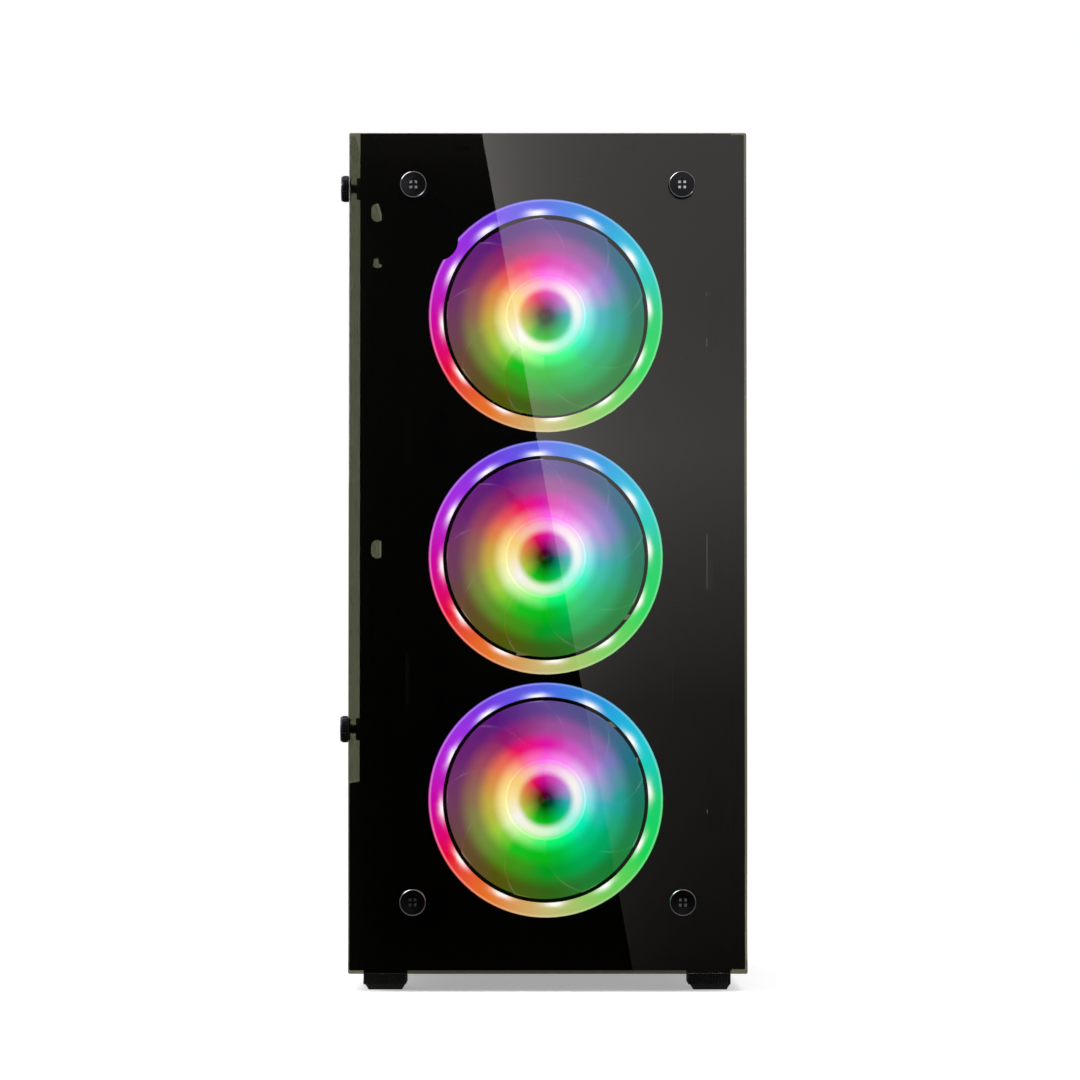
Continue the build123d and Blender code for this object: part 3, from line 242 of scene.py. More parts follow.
# Colours round the wheel, clockwise from the top, at several radii in mm from the hub's band to the tips
wheelLight = {
    "band": ["#fca5ef", "#fde0fa", "#fdfdfa", "#edfafe", "#a5fef2", "#a8fedc",
             "#dbfddb", "#f1fddf", "#fefcfb", "#feedac", "#fed87f", "#febbb6"],
    "inner": ["#fd5ee8", "#f890f4", "#e4ccfc", "#80ecec", "#00f4c0", "#00f884",
              "#15fa6e", "#9ffc86", "#f0fdc7", "#fded9b", "#fece83", "#fe798f"],
    "near": ["#df14ae", "#d05ccc", "#bc8ae2", "#30b4c0", "#00c490", "#00c85e",
             "#00ba18", "#17c621", "#a5d144", "#c7ad44", "#e67f4d", "#ef0d65"],
    "far": ["#a0509e", "#9a5aa8", "#7c74c4", "#00a098", "#00a868", "#00aa50",
            "#009b22", "#489418", "#76933c", "#926c54", "#9d4560", "#921671"],
    "tip": ["#624894", "#4c578c", "#007085", "#007658", "#008037", "#207e34",
            "#306717", "#54540a", "#664b33", "#703a60", "#6b2375", "#581680"],
    "steps": (("band", 11, 15.2), ("inner", 16.2, 20.5), ("near", 20.5, 27.5), ("far", 27.5, 36),
              ("tip", 36, 45)),
}


def glowingWheel(name, center):
    # Frosted polycarbonate wheel: four lamps in the hub's clear rim light it, so it is brightest there,
    # dark over the motor, and fades towards the tips, where it picks up the ring's colour.
    material, tree, place = startMaterial(name)
    turn, radius = polar(tree, place, center)
    cloud = addNode(tree, "TexNoise", {"Vector": place, "Scale": 1 / (14 * mm), "Detail": 2.0})
    cloud = addNode(tree, "MapRange", [cloud, 0.35, 0.65, 0.988, 1.012])
    turn = addNode(tree, "Math", [addNode(tree, "Math", [turn, cloud], operation="ADD")], operation="FRACT")
    color = addNode(tree, "VectorMath", {
        0: colorWheel(tree, turn, wheelLight["near"]),
        "Scale": addNode(tree, "MapRange", [radius, 3, 11, 0.09, 1.0])}, operation="SCALE")
    for key, start, end in wheelLight["steps"]:
        share = addNode(tree, "MapRange", [radius, start, end], interpolation_type="SMOOTHSTEP")
        color = addNode(tree, "Mix", [share, color, colorWheel(tree, turn, wheelLight[key])],
            data_type="RGBA")
    rim = gaussian(tree, addNode(tree, "Math", [radius, 19.5], operation="SUBTRACT"), 0.4)
    light = addNode(tree, "Math", [rim, 0.3, 1.0], operation="MULTIPLY_ADD")
    endMaterial(tree, litShader(tree, color, light, "#0c0c0e", 0.3))
    return material


# Building helpers

def startMesh():
    return bmesh.new()


def addBlock(bm, low, high, edge=0.0, part=0):
    # A block between two corners with its edges rounded off, in material slot part
    size = Vector(high) - Vector(low)
    place = Matrix.Translation((Vector(high) + Vector(low)) / 2) @ Matrix.Diagonal((*size, 1))
    made = bmesh.ops.create_cube(bm, size=1, matrix=place)["verts"]
    faces = {face for vert in made for face in vert.link_faces}
    for face in faces:
        face.material_index = part
    if edge:
        edges = list({line for vert in made for line in vert.link_edges})
        bmesh.ops.bevel(bm, geom=edges, offset=edge, segments=1, profile=0.5, affect="EDGES", material=-1)


def axisPlace(start, direction):
    return Matrix.Translation(start) @ Vector(direction).to_track_quat("Z", "Y").to_matrix().to_4x4()


def addRod(bm, start, direction, length, radius, segments=24, part=0, endRadius=None):
    tip = radius if endRadius is None else endRadius
    place = axisPlace(start, direction) @ Matrix.Translation((0, 0, length / 2))
    made = bmesh.ops.create_cone(bm, cap_ends=True, segments=segments, radius1=radius, radius2=tip,
                                 depth=length, matrix=place)["verts"]
    for face in {face for vert in made for face in vert.link_faces}:
        face.material_index = part
    return made


def addTurned(bm, start, direction, outline, steps=48, part=0):
    # Spins an outline of (radius, height) points round an axis, as on a lathe
    place = axisPlace(start, direction)
    verts = [bm.verts.new(place @ Vector((radius, 0, height))) for radius, height in outline]
    edges = [bm.edges.new(pair) for pair in zip(verts, verts[1:])]
    axis = place.to_3x3() @ Vector((0, 0, 1))
    before = set(bm.faces)
    bmesh.ops.spin(bm, geom=verts + edges, cent=start, axis=axis, angle=tau, steps=steps, use_merge=True)
    made = [face for face in bm.faces if face not in before]
    for face in made:
        face.material_index = part
    bmesh.ops.remove_doubles(bm, verts=list({vert for face in made for vert in face.verts}), dist=0.001)
    return made


def makePiece(name, bm, body, materials, replaced=(), sharp=35):
    # Meshes are built in millimetres and become metres here
    bmesh.ops.scale(bm, vec=(mm, mm, mm), verts=bm.verts)
    bmesh.ops.recalc_face_normals(bm, faces=bm.faces)
    mesh = bpy.data.meshes.new(name)
    bm.to_mesh(mesh)
    bm.free()
    for material in materials:
        mesh.materials.append(material)
    mesh.shade_smooth()
    mesh.set_sharp_from_angle(angle=radians(sharp))
    piece = bpy.data.objects.new(name, mesh)
    scene.collection.objects.link(piece)
    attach(piece, body)
    if replaced:
        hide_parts(*replaced)
    return piece


def dress(material, *names):  # gives CAD nodes their material
    for name in names:
        data = nodes[name].data
        data.materials.clear()
        data.materials.append(material)


# Camera, floor and light

glassLow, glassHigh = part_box("front_glass")
view = {
    "distance": 2.5,       # from the front glass to the camera
    "width": 0.5308,       # what the picture spans at the glass
    "eye": 0.122,          # height of the camera above the floor
    "aim": 0.2219,         # height of the middle of the picture at the glass
    "aside": -0.0038,      # the camera stands this far left of the body's middle
    "sensor": 36.0,
}


def setCamera():
    data = bpy.data.cameras.new("camera")
    data.sensor_width = view["sensor"]
    data.lens = view["sensor"] * view["distance"] / view["width"]
    data.clip_end = 50
    camera = bpy.data.objects.new("camera", data)
    scene.collection.objects.link(camera)
    across = (glassLow.x + glassHigh.x) / 2 + view["aside"]
    eye = Vector((across, glassLow.y - view["distance"], view["eye"]))
    aim = Vector((across, glassLow.y, view["aim"]))
    camera.location = eye
    camera.rotation_euler = (aim - eye).to_track_quat("-Z", "Y").to_euler()
    scene.camera = camera


def addLamp(name, place, target, size, power, color="#ffffff"):
    data = bpy.data.lights.new(name, "AREA")
    data.shape = "RECTANGLE"
    data.size, data.size_y = size
    data.energy = power
    data.color = hexColor(color)[:3]
    lamp = bpy.data.objects.new(name, data)
    scene.collection.objects.link(lamp)
    lamp.location = place
    lamp.rotation_euler = (Vector(target) - Vector(place)).to_track_quat("-Z", "Y").to_euler()
    return lamp


def setWorld():
    # White all round for what is seen and for soft light; reflections see a dim studio that is
    # darkest straight ahead of the front glass
    world = bpy.data.worlds.new("studio")
    scene.world = world
    world.use_nodes = True
    tree = world.node_tree
    tree.nodes.clear()
    direction = addNode(tree, "TexCoord").node.outputs["Generated"]
    axes = addNode(tree, "SeparateXYZ", [direction]).node.outputs
    behind = addNode(tree, "MapRange", [axes["Y"], -0.97, -0.6, 0.001, 0.16])
    above = addNode(tree, "Math", [axes["Z"], 0.0], operation="MAXIMUM")
    strength = addNode(tree, "Math", [above, 0.5, behind], operation="MULTIPLY_ADD")
    seen = addNode(tree, "Background", {"Color": hexColor("#ffffff"), "Strength": 1.02})
    dim = addNode(tree, "Background", {"Color": hexColor("#ffffff"), "Strength": strength})
    glossy = addNode(tree, "LightPath").node.outputs["Is Glossy Ray"]
    shader = addNode(tree, "MixShader", [glossy, seen, dim])
    addNode(tree, "OutputWorld", {"Surface": shader})


def addFloor():
    bm = startMesh()
    bmesh.ops.create_grid(bm, x_segments=1, y_segments=1, size=9)
    mesh = bpy.data.meshes.new("floor")
    bm.to_mesh(mesh)
    bm.free()
    material, tree, place = startMaterial("paleFloor")
    speck = addNode(tree, "TexNoise", {"Vector": place, "Scale": 1 / (40 * mm), "Detail": 3.0})
    endMaterial(tree, addNode(tree, "BsdfPrincipled", {
        "Base Color": addNode(tree, "Mix", [speck, hexColor("#d6d6d6"), hexColor("#dadada")],
            data_type="RGBA"), "Roughness": 0.9,
        "Emission Color": hexColor("#ffffff"), "Emission Strength": 0.36,
        "Specular IOR Level": 0.0}))
    mesh.materials.append(material)
    floor = bpy.data.objects.new("floor", mesh)
    scene.collection.objects.link(floor)
    floor.visible_glossy = False


card = {
    "behind": 0.6,      # from the camera back to the card
    "slant": 10.2,      # lean of its mirrored edge, in degrees
    "edge": -0.0325,    # where that edge meets the top of the glass, from the body's middle
    "strength": 2.5,
    "fade": 0.030,      # how fast it dims away from its edge
    "heights": ((0.0, 0.05), (0.09, 0.10), (0.32, 0.22), (0.47, 0.55), (0.62, 1.0), (0.8, 0.9), (1.0, 0.78)),
}


def addReflectionCard():
    # A large soft light card behind the camera. The front glass mirrors its straight edge as a slanted line.
    # A point of the glass at x, z mirrors the card at camera + (point - camera) * reach.
    reach = (2 * view["distance"] + card["behind"]) / view["distance"]
    across = (glassLow.x + glassHigh.x) / 2
    eye = Vector((across + view["aside"], view["eye"]))
    y = glassLow.y - view["distance"] - card["behind"]

    def mirrored(x, z):
        return (eye.x + (x - eye.x) * reach, y, eye.y + (z - eye.y) * reach)

    glassWidth = glassHigh.x - glassLow.x
    margin = 0.05
    top, low = glassHigh.z + margin, glassLow.z - margin
    slope = tan(radians(card["slant"]))
    topLeft = across + card["edge"] - margin * slope
    right = across + glassWidth
    outline = [(topLeft, top), (right, top), (right, low), (topLeft + (top - low) * slope, low)]
    bm = startMesh()
    bm.faces.new([bm.verts.new(mirrored(x, z)) for x, z in outline])
    mesh = bpy.data.meshes.new("reflectionCard")
    bm.to_mesh(mesh)
    bm.free()
    material, tree, place = startMaterial("softCard")
    axes = addNode(tree, "SeparateXYZ", [place]).node.outputs
    height = addNode(tree, "MapRange", [axes["Z"], mirrored(0, glassLow.z)[2], mirrored(0, glassHigh.z)[2]])
    fall = addNode(tree, "ValToRGB", [height])
    stops = fall.node.color_ramp.elements
    for position, share in card["heights"]:
        stops.new(position).color = (share, share, share, 1)
    stops.remove(stops[-1])
    stops.remove(stops[0])
    start = mirrored(*outline[0])
    aside = addNode(tree, "Math", [axes["X"], start[0]], operation="SUBTRACT")
    drop = addNode(tree, "Math", [axes["Z"], start[2]], operation="SUBTRACT")
    aside = addNode(tree, "Math", [drop, slope, aside], operation="MULTIPLY_ADD")
    fade = addNode(tree, "Math", [aside, -card["fade"] * reach], operation="DIVIDE")
    fade = addNode(tree, "Math", [exp(1), fade], operation="POWER")
    dimming = addNode(tree, "Math", [fade, 0.75, 0.55], operation="MULTIPLY_ADD")
    dimming = addNode(tree, "Math", [dimming, card["strength"]], operation="MULTIPLY")
    strength = addNode(tree, "Math", [fall, dimming], operation="MULTIPLY")
    endMaterial(tree, addNode(tree, "Emission", {"Color": hexColor("#fffaf7"), "Strength": strength}))
    mesh.materials.append(material)
    board = bpy.data.objects.new("reflectionCard", mesh)
    scene.collection.objects.link(board)
    board.visible_camera = False
    board.visible_diffuse = False
    board.visible_shadow = False


scene.view_settings.view_transform = "Standard"
setCamera()
setWorld()
addFloor()
addReflectionCard()
addLamp("keyLamp", (-1.1, -1.5, 1.9), (0, 0, 0.2), (1.2, 1.2), 26)
addLamp("fillLamp", (1.8, -0.6, 1.2), (0, 0, 0.2), (1.0, 1.4), 12)
addLamp("topLamp", (0.1, 0.4, 2.2), (0, 0, 0.2), (1.4, 1.4), 20)
addLamp("sideLamp", (-2.2, 0.5, 0.9), (0, 0.05, 0.25), (1.4, 1.1), 34)
print("stage set")

# Plain CAD parts that only need their finish

steel = coatedSteel()
blackPlastic = mouldedAbs("mouldedBlackAbs", "#0c0c0d", "#161617", 0.48)
tintedPane = paneGlass("tintedTemperedGlass", "#010101", "#fdfbe5", 0.65, 0.003)
clearPane = paneGlass("clearTemperedGlass", "#0c1210", "#edf4ef", 0.09, 0.01)
nickel = turnedMetal("blackNickelPlate", "#1d1d1f", "#343437", 0.2)
blackOxide = turnedMetal("blackOxideSteel", "#18181a", "#29292b", 0.35)
rubber = mouldedRubber()

dress(steel, "front_plate", "rear_plate", "bottom_plate", "top_plate", "motherboard_tray", "psu_shroud",
      "lower_side_skirt", "right_side_panel", "psu_housing", "drive_cage", "slot_covers")
dress(tintedPane, "front_glass")
dress(clearPane, "side_glass")
dress(nickel, "front_glass_screws", "side_thumbscrews", "side_glass_posts", "front_glass_standoffs")
dress(blackOxide, "right_panel_thumbscrews", "fan_screws", "rear_screws")
dress(rubber, "side_glass_washers", "feet")
dress(blackPlastic, "fan_1_frame", "fan_2_frame", "fan_3_frame", "rear_fan_frame", "cooler_fan_frame")
print("finishes on the CAD parts")

# Fan wheels

wheel = {
    "blades": 9, "hub": 20, "tip": 49.2, "depth": 18, "thick": 1.3, "overlap": 1.12,
    "sweep": 24, "camber": 2.2, "rings": 14, "steps": 10,
}
darkWheel = {**wheel, "overlap": 0.84}
cardWheel = {**darkWheel, "blades": 11, "hub": 15, "tip": 41.5, "depth": 13.5, "sweep": 34}
supplyWheel = {**darkWheel, "blades": 7, "hub": 19, "tip": 52.5, "depth": 19, "overlap": 0.9}


def makeWheel(name, body, node, materials, data, direction):
    # Swept, cambered blades all round a hub cup with a raised rim and a small pip over the shaft.
    # It is shaped round the Z axis with its front at height 0, then turned into its place.
    bm = startMesh()
    made = bmesh.ops.create_grid(bm, x_segments=data["steps"], y_segments=data["rings"], size=0.5)["verts"]
    chord = tau / data["blades"] * data["overlap"]
    root = data["hub"] - 0.6
    for vert in made:
        u, v = vert.co.x, vert.co.y + 0.5
        radius = root + v * (data["tip"] - root)
        turn = u * chord + radians(data["sweep"]) * v * v
        depth = 1.8 + (0.5 + u) * (data["depth"] - 5) * (1 - 0.25 * v)
        depth += data["camber"] * (1 - 4 * u * u) * (0.4 + v)
        vert.co = (radius * sin(turn), radius * cos(turn), depth)
    bmesh.ops.recalc_face_normals(bm, faces=bm.faces)
    bmesh.ops.solidify(bm, geom=bm.faces[:], thickness=data["thick"])
    for face in bm.faces:
        face.material_index = 0
    bmesh.ops.spin(bm, geom=bm.faces[:], cent=(0, 0, 0), axis=(0, 0, 1), angle=tau * (1 - 1 / data["blades"]),
                   steps=data["blades"] - 1, use_duplicate=True)
    hub = data["hub"]
    outline = [(0, 0.5), (0.9, 0.5), (1.5, 0.9), (hub * 0.55, 0.7),
               (hub * 0.86, 0.4), (hub - 1.0, 0.0), (hub - 0.3, 0.15), (hub, 0.8),
               (hub, data["depth"]), (hub - 1.8, data["depth"]), (hub - 1.8, 2.5), (0, 2.5)]
    addTurned(bm, Vector((0, 0, 0)), (0, 0, 1), outline, 72, len(materials) - 1)
    low, high = corners(node)
    center = (low + high) / 2
    front = center - Vector(direction) * (high - low).dot(Vector(direction)) / 2
    bmesh.ops.transform(bm, verts=bm.verts[:], matrix=axisPlace(front, direction))
    return makePiece(name, bm, body, materials, [node])


for number in (1, 2, 3):
    center = middle(f"fan_{number}_impeller") * mm
    dress(glowingRing(f"frostedRing{number}", center), f"fan_{number}_light_ring")
    makeWheel(f"fanWheel{number}", f"fan_{number}_wheel", f"fan_{number}_impeller",
              [glowingWheel(f"frostedWheel{number}", center)], wheel, (0, 1, 0))
print("front fans built")

darkBlades = mouldedAbs("mouldedBlackPbt", "#141416", "#202022", 0.36)
makeWheel("rearFanWheel", "rear_fan_wheel", "rear_fan_impeller", [darkBlades],
    darkWheel, (0, 1, 0))
makeWheel("coolerFanWheel", "cooler_wheel", "cooler_impeller", [darkBlades],
    darkWheel, (0, 1, 0))
for number in (1, 2):
    makeWheel(f"graphicsFanWheel{number}", f"graphics_wheel_{number}",
        f"graphics_fan_{number}",
              [darkBlades], cardWheel, (0, 0, 1))
makeWheel("supplyFanWheel", "supply_wheel", "psu_impeller", [darkBlades],
    supplyWheel, (0, 0, 1))
print("dark fan wheels built")

# Finishes of the inner parts


def solderMask():
    # Black solder mask over copper: satin lacquer with faint raised traces about 2 mm apart and tinned dots.
    material, tree, place = startMaterial("blackSolderMask")
    lanes = addNode(tree, "TexBrick", {
        "Vector": addNode(tree, "Mapping", {"Vector": place, "Rotation": (0, tau / 4, 0.02)}),
        "Scale": 1 / (14 * mm),
        "Mortar Size": 0.035, "Row Height": 0.16, "Brick Width": 0.9}).node.outputs["Fac"]
    dots = addNode(tree, "TexVoronoi", {"Vector": place, "Scale": 1 / (4.5 * mm), "Randomness": 1.0})
    via = addNode(tree, "Math", [dots, 0.075], operation="LESS_THAN")
    color = addNode(tree, "Mix", [lanes, hexColor("#0c0d0f"), hexColor("#1a1c20")], data_type="RGBA")
    color = addNode(tree, "Mix", [via, color, hexColor("#8d8a80")], data_type="RGBA")
    gloss = addNode(tree, "MapRange", [lanes, 0, 1, 0.34, 0.26])
    relief = addNode(tree, "Bump", {"Height": lanes, "Distance": 0.04 * mm, "Strength": 0.6})
    endMaterial(tree, addNode(tree, "BsdfPrincipled", {
        "Base Color": color, "Metallic": addNode(tree, "Math", [via, 0.7], operation="MULTIPLY"),
        "Roughness": gloss, "Normal": relief}))
    return material


def brushedMetal(name, dark, light, rough, along):
    # Rolled, drawn or brushed sheet: fine lines 0.3 mm wide that run along one axis.
    stretch = tuple(0.02 if axis == along else 1.0 for axis in "XYZ")
    return turnedMetal(name, dark, light, rough, 0.5 * mm, stretch)


def braidedSleeve():
    # Braided polyester sleeve: two sets of yarns 1.2 mm wide crossing at a slant, dull with a slight sheen.
    material, tree, place = startMaterial("braidedPolyester")
    uv = addNode(tree, "TexCoord").node.outputs["UV"]
    heights = []
    for turn in (0.7, -0.7):
        yarns = addNode(tree, "TexWave", {
            "Vector": addNode(tree, "Mapping", {"Vector": uv, "Rotation": (0, 0, turn)}), "Scale": 2.2},
            bands_direction="X", wave_profile="SIN")
        heights.append(yarns.node.outputs["Fac"])
    weave = addNode(tree, "Math", heights, operation="MAXIMUM")
    # Darker in the grooves between the yarns, lighter on their crowns: painted shade
    color = addNode(tree, "Mix", [weave, hexColor("#060606"), hexColor("#232325")], data_type="RGBA")
    endMaterial(tree, addNode(tree, "BsdfPrincipled", {
        "Base Color": color, "Roughness": 0.62, "Sheen Weight": 0.3,
        "Normal": addNode(tree, "Bump", {"Height": weave, "Distance": 0.25 * mm, "Strength": 0.8})}))
    return material


def wovenMesh():
    # Extruded nylon yarn of a dust screen: satin, with faint dusty patches.
    material, tree, place = startMaterial("blackNylonScreen")
    dust = addNode(tree, "TexNoise", {"Vector": place, "Scale": 1 / (2.5 * mm), "Detail": 4.0})
    color = addNode(tree, "Mix", [dust, hexColor("#0b0b0c"), hexColor("#212022")], data_type="RGBA")
    endMaterial(tree, addNode(tree, "BsdfPrincipled", {
        "Base Color": color, "Roughness": addNode(tree, "MapRange", [dust, 0.35, 0.65, 0.4, 0.62])}))
    return material


boardLacquer = solderMask()
socketPlastic = mouldedAbs("mouldedSocketNylon", "#101012", "#1c1c1f", 0.42)
paleSocket = mouldedAbs("mouldedGreyNylon", "#3b3c40", "#4b4c51", 0.4)
chipEpoxy = mouldedAbs("mouldedChipEpoxy", "#141516", "#1f2022", 0.55)
tin = turnedMetal("tinPlate", "#9b9da0", "#c6c8ca", 0.28)
gold = turnedMetal("goldPlate", "#b98a3a", "#e2bb68", 0.25)
brass = turnedMetal("machinedBrass", "#a77b35", "#cfa458", 0.3)
finAluminium = brushedMetal("rolledFinAluminium", "#b4b6b9", "#c8cacd", 0.3, "Z")
pipeNickel = brushedMetal("platedPipeNickel", "#9a9a9c", "#c2c2c4", 0.2, "X")
portSteel = brushedMetal("stampedPortSteel", "#8c8e92", "#b7b9bc", 0.34, "Z")
bareSteel = brushedMetal("drawnBareSteel", "#85878b", "#b4b6ba", 0.3, "X")
darkAnodised = anodised("blackAnodisedAluminium", "#17181a", "#26272a", 0.36)
castLid = anodised("castDriveAluminium", "#6f7276", "#909397", 0.42)
sleeve = braidedSleeve()
screen = wovenMesh()
jackColors = ("#1f7a3c", "#2a5fa8", "#b2476c", "#17181a")
jackPlastics = [mouldedAbs(f"mouldedJack{n}", code, code, 0.4) for n, code in enumerate(jackColors)]
print("inner finishes made")

# Screws and feet


def solids(node):  # corners of each separate solid of a CAD node, in order
    bm = startMesh()
    bm.from_mesh(nodes[node].data)
    bmesh.ops.remove_doubles(bm, verts=bm.verts, dist=1e-6)
    left, found = set(bm.verts), []
    while left:
        queue, group = [left.pop()], []
        while queue:
            vert = queue.pop()
            group.append(vert.co.copy())
            near = [line.other_vert(vert) for line in vert.link_edges]
            queue += [other for other in near if other in left]
            left.difference_update(near)
        low, high = [Vector([pick(point[k] for point in group) for k in range(3)]) for pick in (min, max)]
        found.append((low / mm, high / mm))
    bm.free()
    return sorted(found, key=lambda pair: [round(value, 2) for value in (*pair[0], *pair[1])])


def addCrossHead(bm, start, direction, head, part=0, glintPart=0):
    # A turned screw head: rounded rim, dished face, and a cross left between four quadrants. The rim and the
    # quadrants take their own part, which may be a lighter metal that paints highlights on them
    radius, proud, well, rim = head["radius"], head["proud"], head["well"], head["rim"]
    bottom = proud - head["deep"]
    dish = proud - head["dish"]
    addTurned(bm, start, direction, [(0, bottom), (well, bottom), (well, dish), (radius - rim, dish + 0.1),
                                     (radius - rim, proud - 0.05)], head["steps"], part)
    addTurned(bm, start, direction, [(radius - rim, proud - 0.05), (radius - rim * 0.7, proud),
                                     (radius - rim * 0.3, proud - rim * 0.2), (radius, proud - rim * 0.9)],
                                     head["steps"], glintPart)
    addTurned(bm, start, direction, [(radius, proud - rim * 0.9), (radius, 0.2), (radius - 0.2, 0), (0, 0)],
              head["steps"], part)
    place = axisPlace(start, direction)
    reach, slot = well * 0.78, head["slot"] / 2
    for x in (-1, 1):
        for y in (-1, 1):
            before = set(bm.verts)
            ends = [sorted((x * slot, x * reach)), sorted((y * slot, y * reach)), (bottom, dish)]
            addBlock(bm, [end[0] for end in ends], [end[1] for end in ends], 0.12, glintPart)
            bmesh.ops.transform(bm, verts=[vert for vert in bm.verts if vert not in before], matrix=place)


def addGrip(bm, start, direction, radius, length, ribs, part=0):
    # A knurled barrel: a ring of narrow ribs pushed along the axis, its ends softened
    before = set(bm.verts)
    made = bmesh.ops.create_circle(bm, cap_ends=True, segments=ribs * 4, radius=radius)["verts"]
    for number, vert in enumerate(made):
        if number % 4 > 1:
            vert.co *= 1 - 0.35 / radius
    side = bmesh.ops.extrude_face_region(bm, geom=[made[0].link_faces[0]])["geom"]
    top = [item for item in side if isinstance(item, bmesh.types.BMVert)]
    bmesh.ops.translate(bm, verts=top, vec=(0, 0, length))
    fresh = [vert for vert in bm.verts if vert not in before]
    rims = [line for line in {line for vert in fresh for line in vert.link_edges}
            if abs(line.verts[0].co.z - line.verts[1].co.z) < 0.0001]
    bmesh.ops.bevel(bm, geom=rims, offset=0.2, segments=1, profile=0.5, affect="EDGES", material=-1)
    fresh = [vert for vert in bm.verts if vert not in before]
    for face in {face for vert in fresh for face in vert.link_faces}:
        face.material_index = part
    bmesh.ops.transform(bm, verts=fresh, matrix=axisPlace(start, direction))


glassHead = {"radius": 6.6, "proud": 4.5, "rim": 0.55, "dish": 0.35, "well": 2.6,
             "deep": 1.7, "slot": 1.15, "shank": 2, "steps": 48}
smallHead = {**glassHead, "radius": 3.6, "proud": 2.2, "rim": 0.4, "dish": 0.2, "well": 1.9,
             "deep": 1.2, "slot": 0.8, "steps": 28}
knob = {"ribs": 26}

paneLow = corners("front_glass")[0]
# A lighter nickel. On the screw heads it paints highlight on the rims and cross quadrants as a lit copy of
# their dark nickel; it also finishes the key rings and the power key's mark
brightNickelAndGlints = turnedMetal("brightNickelWithPaintedGlints", "#8d8d92", "#c4c4c8", 0.16)
bm = startMesh()
for low, high in solids("front_glass_screws"):
    start = Vector(((low.x + high.x) / 2, paneLow.y, (low.z + high.z) / 2))
    # Rims and cross quadrants in the lighter nickel: painted highlight
    addCrossHead(bm, start, (0, -1, 0), glassHead, 0, 1)
    addRod(bm, start, (0, 1, 0), high.y - paneLow.y, glassHead["shank"], 24)
makePiece("frontGlassScrews", bm, "case", [nickel, brightNickelAndGlints], ["front_glass_screws"])

# Thumbscrews of the side window: rubber neck, knurled barrel and a dished cross face
bm = startMesh()
windowLow = corners("side_glass")[0]
for low, high in solids("side_thumbscrews"):
    start = Vector((windowLow.x, (low.y + high.y) / 2, (low.z + high.z) / 2))
    radius = (high.y - low.y) / 2
    proud = windowLow.x - low.x
    addRod(bm, start, (-1, 0, 0), 1.1, radius - 0.9, 40, 2)
    addGrip(bm, start + Vector((-1.1, 0, 0)), (-1, 0, 0), radius, proud - 2.0, knob["ribs"])
    head = {**glassHead, "radius": radius - 0.35, "proud": 0.9, "deep": 0.8}
    # The face's rim and cross quadrants in the lighter nickel: painted highlight
    addCrossHead(bm, start + Vector((-(proud - 0.9), 0, 0)), (-1, 0, 0), head, 0, 1)
    addRod(bm, start, (1, 0, 0), high.x - windowLow.x, 2, 24)
makePiece("sideThumbscrews", bm, "side_window",
    [nickel, brightNickelAndGlints, rubber], ["side_thumbscrews"])

# Thumbscrews that hold the right-hand panel at the back
bm = startMesh()
rearHigh = corners("rear_plate")[1]
for low, high in solids("right_panel_thumbscrews"):
    radius = (high.z - low.z) / 2
    start = Vector(((low.x + high.x) / 2, rearHigh.y + 1.3, (low.z + high.z) / 2))
    barrel = high.y - start.y - 1.2
    addRod(bm, start, (0, -1, 0), start.y - low.y, 1.7, 20)
    addGrip(bm, start, (0, 1, 0), radius, barrel, knob["ribs"])
    head = {**smallHead, "radius": radius - 0.8, "proud": 1.1}
    addCrossHead(bm, start + Vector((0, barrel, 0)), (0, 1, 0), head)
makePiece("panelThumbscrews", bm, "right_panel", [blackOxide], ["right_panel_thumbscrews"])

# Small screws: fan screws at the front and back, supply and slot screws at the back
for name, node in (("fanScrews", "fan_screws"), ("rearScrews", "rear_screws")):
    bm = startMesh()
    for low, high in solids(node):
        radius = (high.x - low.x) / 2
        outwards = -1 if low.y < 0 else 1
        head = {**smallHead, "radius": radius}
        tip = low.y if outwards < 0 else high.y
        start = Vector(((low.x + high.x) / 2, tip - outwards * head["proud"], (low.z + high.z) / 2))
        addCrossHead(bm, start, (0, outwards, 0), head)
        inner = high.y if outwards < 0 else low.y
        addRod(bm, start, (0, -outwards, 0), abs(inner - start.y), 1.6, 16)
    makePiece(name, bm, "case", [blackOxide], [node])

# Feet: fluted rubber blocks whose lower corners are cut off at a slant
foot = {"flutes": 15, "groove": 0.7, "cut": 2.5}
bm = startMesh()
for low, high in solids("feet"):
    for number in range(foot["flutes"]):
        step = (high.x - low.x) / foot["flutes"]
        left = low.x + number * step
        addBlock(bm, (left, low.y, low.z + foot["cut"]), (left + step - foot["groove"], high.y, high.z), 0.25)
    inset = Vector((0.6, 0.6, 0))
    addBlock(bm, low + inset + Vector((0, 0, foot["cut"])), high - inset, 0.2)
    for vert in bmesh.ops.create_cube(bm, size=1)["verts"]:
        narrow = 1 if vert.co.z > 0 else foot["cut"]
        corner = [(high if vert.co[k] > 0 else low)[k] for k in range(3)]
        side = [1 if vert.co[k] > 0 else -1 for k in range(2)]
        sole = low.z + (foot["cut"] if vert.co.z > 0 else 0)
        vert.co = (corner[0] - narrow * side[0], corner[1] - narrow * side[1], sole)
makePiece("flutedFeet", bm, "case", [rubber], ["feet"])
print("screws and feet built")

